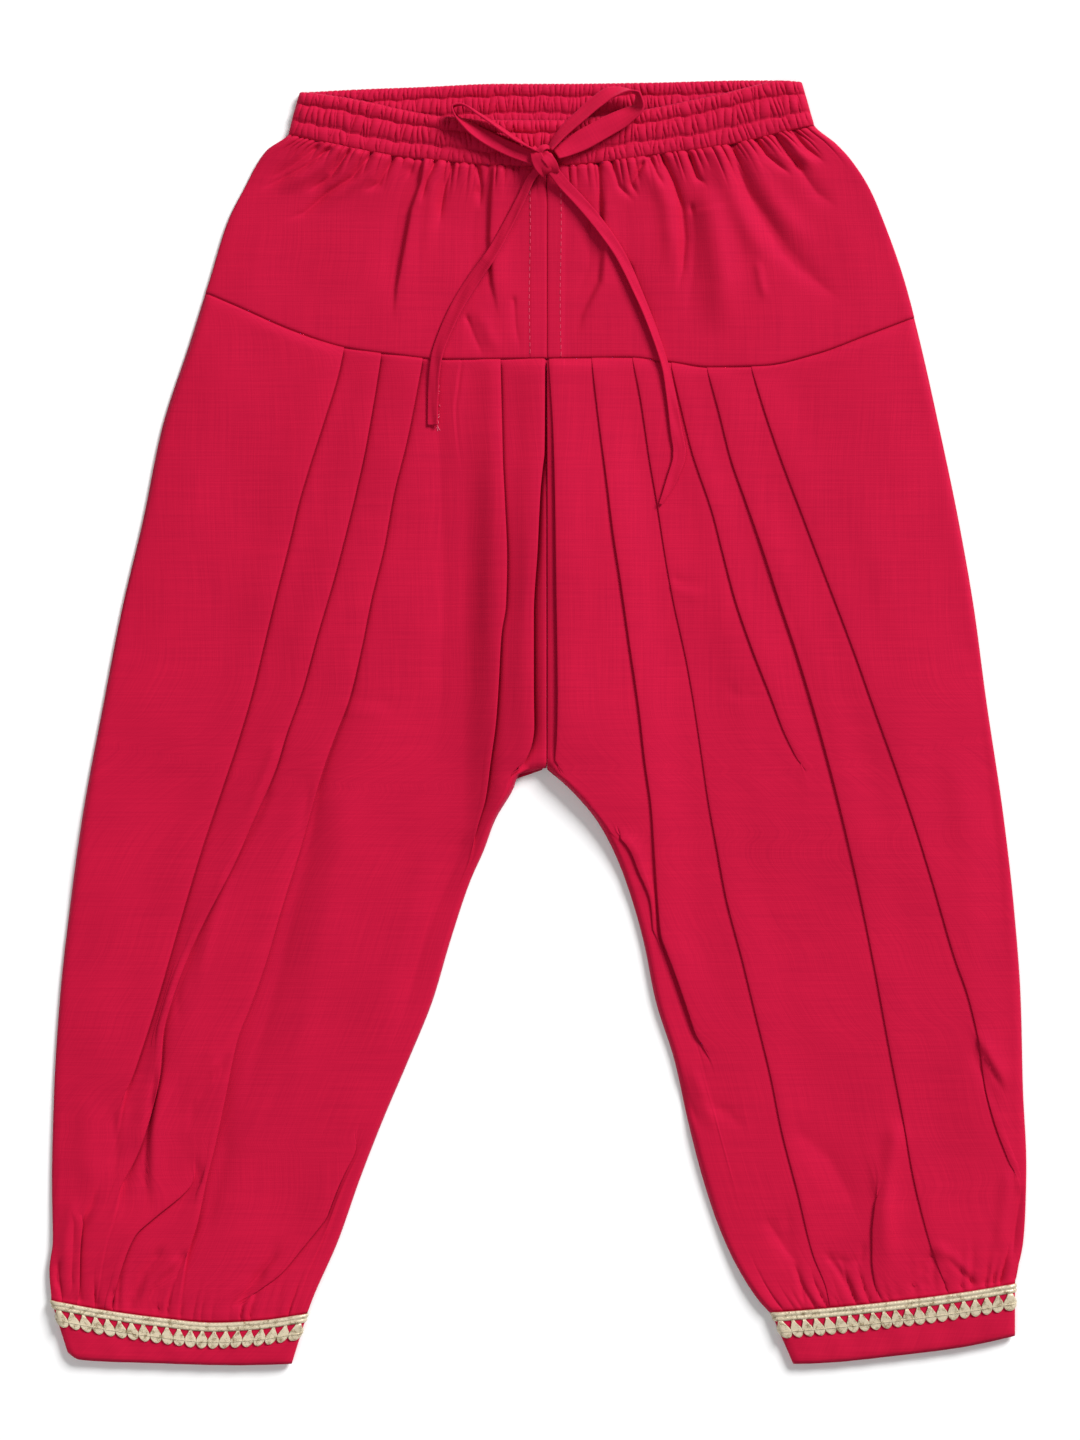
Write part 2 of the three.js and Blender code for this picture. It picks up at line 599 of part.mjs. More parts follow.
const insideOfFrontBand = 3.1;
const frontBandEdge = 2.4;
const backBandSeam = (bottomX, topX) => at(backBandTop, 'x', 'y', topX) - bandHeight;
const frontBandSeam = (bottomX) => at(waistSeam, 'x', 'y', bottomX) + crossSeamHalfGap;
add('waistband_back', band(backBandTop, backBandSeam, 0, 0), cotton);
add('waistband_front', band(bandTop, frontBandSeam, insideOfFrontBand, frontBandEdge), cotton);
add('yoke_back', yokeBack(), cotton);
for (const [name, side] of Object.entries(sides)) {
  add(`yoke_front_${name}`, yokeFront(side), cotton);
  add(`leg_front_${name}`, legFront(side), cotton);
  add(`leg_back_${name}`, legBack(side), cotton);
  add(`cuff_${name}`, cuff(side), cotton);
  add(`lace_${name}`, lace(side), goldLace);
}
add('drawstring_knot', knot(), cotton);
add('drawstring_loop_left', tape(leftLoopRoute, 14, true), cotton);
add('drawstring_loop_right', tape(rightLoopRoute, 16, true), cotton);
add('drawstring_tail_left', tape(leftTailRoute, 12, false), cotton);
add('drawstring_tail_right', tape(rightTailRoute, 16, false), cotton);

export default garment;
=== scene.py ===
# Child's crimson cotton trousers, pleated below a yoke, with a drawstring waist and gold lace cuffs
# Tables and sizes are in millimetres, and they become metres when a mesh is made.
# Left and right are as seen from above, +Y runs towards the waist, and +Z is up from the table.
from collections import namedtuple

import bpy
import numpy as np
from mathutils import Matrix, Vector
from mathutils.bvhtree import BVHTree


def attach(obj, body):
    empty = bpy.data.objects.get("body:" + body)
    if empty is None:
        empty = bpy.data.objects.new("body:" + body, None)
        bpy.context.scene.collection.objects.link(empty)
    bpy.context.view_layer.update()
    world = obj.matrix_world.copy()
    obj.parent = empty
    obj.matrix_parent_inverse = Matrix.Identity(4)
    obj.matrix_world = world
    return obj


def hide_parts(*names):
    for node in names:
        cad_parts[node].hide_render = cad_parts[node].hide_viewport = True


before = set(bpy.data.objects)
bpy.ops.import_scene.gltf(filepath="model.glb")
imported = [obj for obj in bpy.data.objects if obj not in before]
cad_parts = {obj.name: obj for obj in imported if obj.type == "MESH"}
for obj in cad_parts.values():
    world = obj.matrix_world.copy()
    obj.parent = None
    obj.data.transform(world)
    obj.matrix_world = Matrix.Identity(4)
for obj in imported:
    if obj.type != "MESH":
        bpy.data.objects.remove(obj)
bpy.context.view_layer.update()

MM = 0.001

# Camera, straight above, framed as the photograph is
PHOTO_HEIGHT = 1440
MM_PER_PIXEL = 0.45
VIEW_CENTRE = (0.9, 1.1)
LENS = 100
SENSOR = 36

# Walls of cloth
CLOTH_WALL = 0.5
PLEAT_WALL = 0.3
CUFF_WALL = 0.8

# Height of the middle of a layer over the table
BACK_REST = 0.25
BACK_LIFT = 0.7
FRONT_REST = 3.4
LOWEST_FRONT = 0.85
LOWEST_YOKE = 1.0
EDGE_REST = 1.0
YOKE_WAIST_REST = 4.6
YOKE_MIDDLE_REST = 2.7
YOKE_SEAM_REST = 3.1
HEM_REST = 4.0
HEM_EDGE_REST = 2.6
HEM_SEAM_REST = 3.9
CUFF_FRONT_REST = 4.3
CUFF_BACK_REST = 0.4
BAND_REST = 3.5
BAND_SIDE_REST = 1.5
BACK_BAND_REST = 0.3
BACK_BAND_SIDE_REST = 0.9

# Legs. The hem starts at a fraction of the way down the panel.
LEG_LENGTH = 425
LEG_ROWS = 180
COLUMN_STEP = 1.75
EDGE_ROLL = 4
CROTCH_Y = -23
HEM_START = 0.87
HEM_GATHERS = 22
BACK_HEM_GATHERS = 24
BANK_HEIGHT = 4.3

# Yoke
CENTRE_SEAM_X = 4
YOKE_GATHERS = 34

# Waistband: the fractions of its height where its rows of ruching start and end, and how full each row is
BAND_HEIGHT = 19
BAND_TOP_ENDS = (-107.0, 118.5)
BAND_BOTTOM_ENDS = (-112.0, 124.0)
BAND_ROWS = (0, 0.28, 0.68, 1)
BAND_SWELLS = (0.95, 1.0, 0.7)
BAND_COLUMNS = 700
FRONT_BAND_GATHERS = 92
BACK_BAND_GATHERS = 108

# Cuffs and lace
CUFF_LIP = 0.6
CUFF_HEIGHT = 21
CUFF_HALF_WIDTH = 55
CUFF_CORNER = 4
LACE_DROPS = 21
LACE_WALL = 0.25

# Drawstring, in crumpled tape
TAPE_WIDTH = 7
TAPE_THICKNESS = 1.0
KNOT_CENTRE = (3.1, 250.8, 9.4)
KNOT_SIZE = (4.4, 5.4, 3.2)

# Sewing thread
STITCH_PITCH = 3.1
STITCH_LENGTH = 2.0
FRAYED_THREADS = 30

rng = np.random.default_rng(11)


def select_none():
    """Leaves nothing selected, so that an operator acts only on what is picked next."""
    for piece in bpy.context.selected_objects:
        piece.select_set(False)


def mix(a, b, t):
    return a + (b - a) * t


def ease(t):
    """0 to 1 with level ends."""
    t = np.clip(t, 0, 1)
    return t * t * (3 - 2 * t)


def table(columns, rows):
    """A short table as named columns."""
    form = namedtuple("Table", columns.split())
    return form(*(np.array(column, float) for column in zip(*rows)))


def curve(places, values):
    """A smooth curve through the points of a table, with no overshoot between them."""
    order = np.argsort(places)
    x, y = np.asarray(places, float)[order], np.asarray(values, float)[order]
    step = np.diff(x)
    rise = np.diff(y) / step
    slope = np.zeros_like(x)
    slope[0], slope[-1] = rise[0], rise[-1]
    same = rise[:-1] * rise[1:] > 0
    one, two = 2 * step[1:] + step[:-1], step[1:] + 2 * step[:-1]
    inner = np.zeros(len(rise) - 1)
    inner[same] = (one + two)[same] / (one[same] / rise[:-1][same] + two[same] / rise[1:][same])
    slope[1:-1] = inner

    def value(at):
        at = np.clip(at, x[0], x[-1])
        i = np.clip(np.searchsorted(x, at, side="right") - 1, 0, len(step) - 1)
        t = (at - x[i]) / step[i]
        start = y[i] * (1 + 2 * t) * (1 - t) ** 2 + step[i] * slope[i] * t * (1 - t) ** 2
        end = y[i + 1] * t * t * (3 - 2 * t) + step[i] * slope[i + 1] * t * t * (t - 1)
        return start + end

    return value


def edge(columns, rows):
    """A curve from the first named column of a table to the second."""
    rows = table(columns, rows)
    return curve(rows[0], rows[1])


# Outline of the garment, as it lies
left_side = edge("y x", [
    (283, -107), (264.5, -112), (257, -122), (240, -132), (226, -139), (199, -147.5), (172, -156),
    (132, -169), (91, -177.5), (51, -187), (10, -195), (-44, -205), (-84, -210.5), (-125, -215),
    (-165, -217.5), (-206, -218.5), (-233, -218), (-246, -219.5), (-261, -218.5),
])
right_side = edge("y x", [
    (287.5, 118.5), (275, 121.5), (268.5, 124), (260, 134), (253, 140.5), (240, 149), (226, 155),
    (199, 164.5), (172, 171.5), (132, 180.5), (91, 189), (51, 196), (10, 201.5), (-44, 209.5),
    (-84, 214), (-125, 217), (-165, 218), (-199, 219.5), (-219, 219), (-233, 218), (-246, 215.5),
    (-253, 214),
])
left_inner = edge("y x", [
    (-21.2, 3.9), (-22.6, -7.7), (-30.5, -11.5), (-44, -19.5), (-57.5, -24.5), (-71, -30.5),
    (-98, -39.5), (-125, -47.5), (-152, -58.5), (-179, -70), (-206, -80.5), (-233, -90),
    (-258, -101), (-266, -104),
])
right_inner = edge("y x", [
    (-21.2, 4.1), (-25, 9), (-30.5, 15), (-44, 26.5), (-57.5, 34), (-71, 39.5), (-98, 47.5), (-125, 53),
    (-152, 61.5), (-179, 67.5), (-206, 74.5), (-233, 84), (-258, 98), (-266, 105),
])
# The short edge across the crotch, and the start of the inner edges beside it
CROTCH_ENDS = (-20, 26.5)
crotch = edge("x y", [
    (-20, -44), (-11.5, -30.5), (-7.7, -22.6), (4, -21.2), (9, -25), (15, -30.5), (26.5, -44),
])
band_top = edge("x y", [
    (-107, 283), (-94, 281.5), (-79, 279), (-61, 275), (-44, 272), (-15, 270.3), (10, 270.3),
    (28, 272), (48, 275), (68, 279), (82, 282), (96, 285.5), (108, 288), (118.5, 287.5),
])
waist_seam = edge("x y", [
    (-112, 264.5), (-93, 260), (-79, 257), (-61, 254), (-44, 252.5), (-12, 250), (14, 250.5),
    (38, 253), (59, 256), (76, 258), (97, 262), (109, 265), (124, 268.5),
])
back_band_top = edge("x y", [
    (-107, 283), (-80, 284.5), (-53, 285.5), (-17, 287), (10, 287), (50, 287.5), (95, 288.5),
    (108, 288.5), (118.5, 287.5),
])
yoke_seam = edge("x y", [
    (-149, 193), (-134, 186.5), (-110, 176), (-87, 168.5), (-67, 165.5), (-40, 163), (4, 163.5),
    (40, 164), (58, 162), (78, 159.5), (100, 160), (125, 165.5), (148, 174), (169, 182),
])

# A side's own direction s grows from its outer edge to the centre, so it is X on the left and minus X on
# the right. fold_rise scales how high its fold edges stand, and hollow how far the cloth sinks beside them.
# dips lower the cloth further beyond a fold edge, by the number of the fold.
Side = namedtuple(
    "Side",
    "name sign outer inner cuff_top cuff_bottom cuff_top_ends cuff_bottom_ends hollow fold_rise dips",
)
LEFT = Side(
    "left", 1, left_side, left_inner,
    cuff_top=edge("x y", [
        (-218.5, -260), (-197, -264), (-172, -267.5), (-145, -270), (-125, -269), (-104, -266),
    ]),
    cuff_bottom=edge("x y", [(-211, -283), (-206, -286), (-174, -287.5), (-135, -288.5), (-111, -288)]),
    cuff_top_ends=(-218.5, -104), cuff_bottom_ends=(-211, -111), hollow=1.6, fold_rise=0.8,
    dips={
        0: edge("y dip", [(20, 0), (-30, 0.5), (-150, 0.6), (-185, 0)]),
        1: edge("y dip", [(10, 0), (-40, 0.6), (-90, 0.9), (-170, 0.8), (-225, 0)]),
        3: edge("y dip", [(30, 0), (-15, 1.8), (-120, 2.8), (-200, 2.5), (-250, 0)]),
        5: edge("y dip", [(90, 0), (50, 1.0), (-20, 1.2), (-50, 0)]),
    },
)
RIGHT = Side(
    "right", -1, lambda y: -right_side(y), lambda y: -right_inner(y),
    cuff_top=edge("x y", [(105, -265.5), (124, -264), (163, -260), (190, -256.5), (214, -252.5)]),
    cuff_bottom=edge("x y", [(115, -288), (128, -287.5), (163, -284), (190, -280.5), (214, -275.5)]),
    cuff_top_ends=(105, 214), cuff_bottom_ends=(115, 214), hollow=0.2, fold_rise=0.5,
    dips={4: edge("y dip", [(-80, 0), (-105, 0.9), (-135, 1.3), (-155, 0)])},
)


def pleat(rows):
    """The fold edge of a knife pleat, from the yoke down. At each height y the edge is at x. Depth is how
    far the cloth goes back under it, and rise is how high the edge stands over the cloth beyond it."""
    return table("y x depth rise", rows)


# Pleats of the leg fronts, from the outer edge to the centre
LEFT_FOLDS = [
    pleat([
        (168, -87.3, 7, 1.4), (157.5, -89.5, 7, 1.4), (135, -96.3, 7, 1.4), (114, -103, 7, 1.4),
        (97.5, -107.8, 7, 1.4), (81, -111.7, 7, 1.4), (55, -118.3, 7, 1.4), (33.5, -123.5, 7, 1.4),
        (13, -128.5, 7, 1.4), (-9, -135, 7, 1.4), (-27, -141, 6, 1.4), (-56, -150.8, 6, 1.4),
        (-90, -161, 5, 1.4), (-133, -173.5, 4, 1.3), (-153, -180, 3, 1.2), (-169, -185.3, 1, 0.8),
        (-185, -188, 0, 0.2), (-205, -195, 0, 0.1), (-219, -201.5, 0, 0.6), (-226, -204.5, 2, 1.2),
        (-242, -205.8, 3, 1.4), (-262, -206, 1, 1.0),
    ]),
    pleat([
        (164, -70.7, 7, 1.4), (140.5, -74.5, 7, 1.4), (121, -78, 7, 1.4), (100, -82.7, 7, 1.4),
        (82.5, -87, 7, 1.4), (66, -91.3, 7, 1.4), (36, -100, 7, 1.4), (16.5, -105.3, 7, 1.4),
        (-7, -113.6, 6, 1.3), (-18.5, -117, 6, 1.4), (-46.5, -129, 5, 1.3), (-64.5, -137, 4, 0.9),
        (-90.5, -150.5, 3, 1.1), (-103.5, -156.5, 4, 1.3), (-125, -164.5, 5, 1.4),
        (-140, -168.3, 5, 1.4), (-156.5, -169.5, 5, 1.4), (-176.5, -174, 4, 1.4), (-190, -178.3, 3, 1.2),
        (-211, -187.5, 1, 0.8), (-225, -190.5, 0, 0.3), (-235, -193.5, 0, 0.3), (-262, -198, 0, 0.4),
    ]),
    pleat([
        (164, -62, 0, 0), (100, -74, 0, 0), (0, -103, 0, 0), (-100, -137, 0, 0), (-150, -152, 0, 0),
        (-180, -153, 0, 0), (-195, -151.5, 0, 0.2), (-205, -153, 1, 0.6), (-212, -159.5, 2, 1.1),
        (-222.6, -172.5, 4, 1.4), (-230.4, -180.9, 4, 1.4), (-242.5, -186.2, 4, 1.3), (-261, -191.5, 2, 1.1),
    ]),
    pleat([
        (162.5, -52, 7, 1.4), (149, -54.5, 7, 1.4), (126.5, -59, 7, 1.4), (102, -65, 7, 1.4),
        (78.5, -69.3, 7, 1.4), (55, -75, 7, 1.4), (33.5, -79.3, 7, 1.4), (11, -84.7, 7, 1.4),
        (-9, -92.3, 6, 1.5), (-22.5, -97, 6, 1.5), (-59, -107.5, 6, 1.6), (-83, -115, 6, 1.6),
        (-107, -122, 5, 1.4), (-127, -129, 4, 1.3), (-142.5, -135, 3, 1.3), (-166, -140, 3, 1.3),
        (-187.5, -144.5, 3, 1.3), (-206, -149, 3, 1.3), (-225, -153, 2, 1.3), (-243, -157.7, 1, 1.2),
        (-262, -160, 0, 0.5),
    ]),
    pleat([
        (161.5, -34, 0, 0.5), (150, -35.5, 0, 0.5), (140.5, -36.5, 0, 0.3), (121.5, -35, 0, 0.1),
        (106, -32.5, 0, 0), (83.5, -29, 0, 0), (31.5, -27.5, 0, 0), (-20, -28, 0, 0), (-60, -33, 0, 0),
        (-120, -52, 0, 0), (-178, -76, 0, 0), (-192, -79, 2, 0.5), (-215, -90, 5, 1.2),
        (-237.5, -107, 5, 1.3), (-248.5, -116.5, 4, 1.2), (-254, -124, 2, 0.9), (-262, -133, 0, 0.5),
    ]),
    pleat([
        (162.5, -17, 7, 1.5), (134.5, -16.3, 7, 1.5), (115.5, -15.8, 7, 1.5), (99.5, -15, 7, 1.5),
        (73.5, -14, 6, 1.5), (52.5, -14.5, 6, 1.5), (39.5, -16.5, 6, 1.5), (18.5, -17.7, 6, 1.5),
        (0, -19, 5, 1.5), (-17, -21.3, 4, 1.4), (-34.5, -23.7, 3, 1.2), (-46, -27, 2, 0.9),
        (-62, -30.5, 0, 0.4), (-85, -37, 0, 0), (-180, -73, 0, 0), (-207, -87, 0, 0.3),
        (-237.5, -98, 0, 0.5), (-262, -105.5, 0, 0.4),
    ]),
    pleat([
        (163, 3.2, 7, 1.3), (147, 3, 7, 1.4), (121.5, 2.8, 7, 1.7), (114, 2, 7, 1.8), (103.5, 1, 7, 1.8),
        (90, 0.3, 7, 1.9), (77.5, -0.3, 7, 2), (48.5, -2, 7, 2), (15, -2, 7, 2), (-2, -1.8, 6, 2),
        (-9.5, -2.7, 5, 1.8), (-16.5, -5.5, 3, 1.3), (-23, -8.5, 0, 0.5), (-40, -18, 0, 0),
        (-262, -103, 0, 0),
    ]),
]
RIGHT_FOLDS = [
    pleat([
        (159, 96, 7, 1.4), (138, 102.5, 7, 1.4), (115.5, 110.3, 7, 1.4), (94.5, 118.3, 7, 1.4),
        (69.5, 127.8, 7, 1.4), (30.5, 142.5, 7, 1.4), (4.5, 151.7, 7, 1.4), (-20.5, 160.7, 6, 1.4),
        (-44, 168.7, 6, 1.4), (-70, 176.8, 6, 1.4), (-107, 187.7, 5, 1.4), (-122, 193, 5, 1.4),
        (-145, 198.3, 5, 1.4), (-162.5, 200.7, 4, 1.4), (-180, 205.2, 3, 1.3), (-197, 211.5, 2, 1),
        (-210.5, 216.5, 0, 0.5), (-253, 211, 0, 0.2),
    ]),
    pleat([
        (159, 76, 7, 1.4), (139.5, 81.4, 7, 1.4), (118.5, 86.7, 7, 1.5), (100.5, 93, 7, 1.8),
        (77.5, 101, 7, 2.3), (55, 108.3, 7, 2.5), (30.5, 116.5, 7, 2.5), (1.5, 125.2, 7, 2.4),
        (-25.5, 132.5, 6, 2.3), (-50, 138.5, 6, 1.9), (-76.5, 144.5, 6, 1.6), (-107, 150.7, 5, 1.4),
        (-152, 159, 5, 1.4), (-176.5, 163.8, 5, 1.4), (-204.5, 168.8, 4, 1.4), (-226, 174, 4, 1.4),
        (-238, 177.5, 4, 1.4), (-256, 184.5, 2, 1.0),
    ]),
    pleat([
        (160, 60, 7, 1.4), (138, 65.2, 7, 1.4), (121.5, 69.3, 7, 1.4), (94, 78.5, 7, 1.4),
        (76.5, 83, 7, 1.6), (55, 88.7, 7, 1.8), (34.5, 95.7, 7, 1.8), (12, 104.5, 6, 1.6),
        (-4, 110.5, 4, 1.3), (-17.5, 116.7, 1.5, 0.8), (-26, 119.3, 0, 0.3), (-60, 122, 0, 0),
        (-150, 138, 0, 0), (-190, 148, 0, 0.3), (-206, 151.5, 0.5, 1.5), (-218, 151, 2, 2.4),
        (-229, 150, 3, 2.6), (-241, 150, 3, 2.4), (-252, 151.3, 2, 1.8), (-261, 152, 0, 0.9),
    ]),
    pleat([
        (163.5, 42.5, 7, 1.4), (146.5, 46, 7, 1.4), (116.5, 50.5, 7, 1.4), (98.5, 53.6, 7, 1.4),
        (75, 57.2, 7, 1.2), (57, 60.4, 7, 1.2), (26.5, 67, 7, 1.2), (9.5, 70, 7, 1.2),
        (-13, 73.4, 6, 1.2), (-35, 76.6, 6, 1.3), (-56.5, 80.5, 6, 1.6), (-79, 84.7, 6, 1.7),
        (-107, 92, 5, 1.4), (-130.5, 97.7, 5, 1.4), (-159.5, 104.8, 5, 1.4), (-183, 109.5, 5, 1.4),
        (-212, 117, 4, 1.4), (-238.5, 123.5, 4, 1.4), (-254, 129.5, 3, 1.2), (-264, 131.5, 2, 1.0),
    ]),
    pleat([
        (164.5, 24, 7, 1.4), (131, 28, 7, 1.6), (110.5, 30.7, 7, 2.2), (83.5, 34, 7, 2.5),
        (67.5, 36.5, 7, 2.5), (36, 41, 7, 2.5), (5.5, 45.4, 7, 2.5), (-17.5, 48, 6, 2.4),
        (-38.5, 50.9, 6, 2.4), (-63.5, 52.6, 6, 2.8), (-83.5, 54, 6, 3.0), (-98, 55.6, 5, 3.0),
        (-107, 59.3, 5, 2.8), (-122, 63, 4, 2.3), (-136, 67.4, 2.5, 1.5), (-146, 71.3, 1, 0.7),
        (-156, 74.8, 0, 0.2), (-175, 79, 0, 0), (-225, 97, 0, 0), (-244, 114, 0, 0.4), (-263, 119.5, 0, 0.4),
    ]),
    pleat([
        (163, 15, 0, 0), (100, 20, 0, 0), (40, 25.5, 0, 0), (0, 27, 0, 0), (-25, 24, 0, 0),
        (-40, 24.5, 0, 0), (-46, 28.8, 0, 0.3), (-48.5, 31.5, 0.4, 1.0), (-51.5, 36, 1.4, 2.0),
        (-56, 40.5, 4, 2.4), (-67, 45.2, 6, 2.4), (-80.5, 50.5, 4, 2.0), (-98, 52, 2, 0.8),
        (-112, 53.5, 0, 0.3), (-150, 64.5, 0, 0), (-183, 73.5, 0, 0.3), (-225, 86, 0, 0),
        (-265, 110, 0, 0.2),
    ]),
    pleat([
        (163, 4.9, 7, 1.0), (127, 7, 7, 1.5), (90, 7.8, 7, 2.0), (73, 8, 7, 2.0), (10, 8.8, 7, 2.0),
        (-8, 8.4, 5, 1.8), (-15, 7.8, 2.5, 1.1), (-21, 7.4, 0.8, 0.4), (-26, 8, 0, 0), (-34, 14, 0, 0),
        (-60, 34, 0, 0), (-262, 102, 0, 0),
    ]),
]


Crease = namedtuple("Crease", "rise reach sharp points")


def crease(rise, reach, points, sharp=0.0):
    """A soft ridge where rise is above 0, or a trough below 0. With sharp above 0 one flank is steep: it
    falls to the right of the way from the first point to the last."""
    return Crease(rise, reach, sharp, np.array(points, float))


# Creases of the yoke fronts, from the waist down
YOKE_CREASES = [
    crease(-0.9, 3.0, [(-99, 259), (-106, 253), (-114, 248), (-124, 242.5)]),
    crease(0.7, 2.6, [(-94, 259), (-100, 253), (-110, 247), (-122, 241.5)]),
    crease(-0.9, 2.4, [(-94, 257.5), (-104, 250), (-114, 245), (-126.5, 239)]),
    crease(0.8, 3.0, [(-88, 257.5), (-97, 250), (-110, 242), (-118, 238)]),
    crease(-0.8, 2.2, [(-85, 256.5), (-93, 245), (-105.5, 237.5)]),
    crease(0.7, 3.2, [(-80, 256), (-90, 245), (-100, 238)]),
    crease(-0.8, 2.2, [(-75, 255.5), (-83, 245), (-94.5, 238), (-105, 229), (-116, 225)]),
    crease(0.6, 3.0, [(-70, 255), (-76, 246), (-88, 239), (-100, 229)]),
    crease(-0.7, 2.2, [(-65, 253.5), (-71.5, 242), (-79, 238)]),
    crease(1.2, 3.4, [
        (-51.5, 251), (-53, 242), (-57.2, 230.5), (-60.3, 213.5), (-63.7, 195), (-65, 179),
    ], 1.0),
    crease(-0.5, 6.0, [(-57, 249), (-63, 230), (-67, 205), (-70, 186)]),
    crease(-0.7, 2.0, [(-46, 252), (-50, 243.5), (-53, 232)]),
    crease(0.5, 3.0, [(-43, 251), (-47, 240), (-49, 222), (-52, 205)]),
    crease(-0.8, 2.0, [(-38.5, 251), (-41.5, 242), (-43.5, 232), (-44.5, 222)]),
    crease(-0.7, 1.8, [(-27, 249.5), (-25.5, 240.5), (-26.5, 230)]),
    crease(0.95, 3.6, [(-20, 249.5), (-21.4, 236.5), (-22.2, 218), (-20.7, 198), (-17, 179)], 0.9),
    crease(-0.4, 7.0, [(-27, 240), (-29, 220), (-28, 200), (-24, 183)]),
    crease(-0.3, 2.8, [(-32, 182), (-28, 172), (-24, 163.5)]),
    crease(0.3, 3.0, [(-25, 181), (-21, 172), (-17, 165)]),
    crease(-0.25, 2.6, [(-11, 190), (-10, 178), (-8, 166)]),
    crease(-0.7, 1.8, [(33.5, 252), (36.4, 241), (43.6, 233.5)]),
    crease(-0.7, 1.8, [(47.2, 251.5), (42, 242), (45.7, 235)]),
    crease(-0.8, 2.0, [(27, 252), (27.8, 238), (28.5, 222)]),
    crease(0.8, 3.0, [(29, 232), (29.5, 215), (28, 198), (20.6, 183.5), (18, 170)], 0.5),
    crease(-0.4, 5.0, [(24, 225), (23, 205), (16, 188)]),
    crease(-0.7, 1.8, [(50.7, 253.5), (53.5, 246), (57, 240)]),
    crease(-1.1, 2.4, [(55.8, 254), (61, 243), (64.6, 232), (66, 217.5), (65, 203.5), (62, 192)]),
    crease(0.8, 4.0, [(52, 246), (58, 232), (60, 216), (59, 200)]),
    crease(-0.5, 5.0, [(69, 232), (70.5, 218), (69.5, 200), (66, 178)]),
    crease(1.5, 7.0, [(77, 232), (80, 216), (83, 198), (80, 172)]),
    crease(-0.9, 2.0, [(68, 255), (71.5, 245), (76.6, 240.5)]),
    crease(0.9, 5.0, [(80, 258), (84.5, 245), (90.5, 230), (98.5, 214), (108, 200)]),
    crease(-1.3, 4.0, [
        (87.5, 261), (89.6, 250), (94.6, 238), (102.8, 225), (111, 212), (118, 205), (128, 196), (140, 187),
    ]),
    crease(0.7, 5.0, [(93.5, 259), (98, 247), (105.5, 234), (115, 222), (128, 210)]),
    crease(-0.8, 2.0, [(98, 262), (102.5, 255), (115, 245)]),
    crease(-0.8, 2.0, [(106.7, 263.5), (112.5, 255), (121, 246.5)]),
    crease(0.6, 2.4, [(111, 264), (117, 256), (126, 248)]),
    crease(-0.8, 2.2, [(115, 265), (121, 258), (129.6, 251)]),
    crease(-0.7, 3.4, [(116, 251), (125.4, 238), (135.4, 231)]),
    crease(0.4, 2.0, [(98.8, 205), (100, 198), (102.4, 189)]),
    crease(-0.5, 3.4, [(41, 205), (47, 190), (53, 172)]),
]

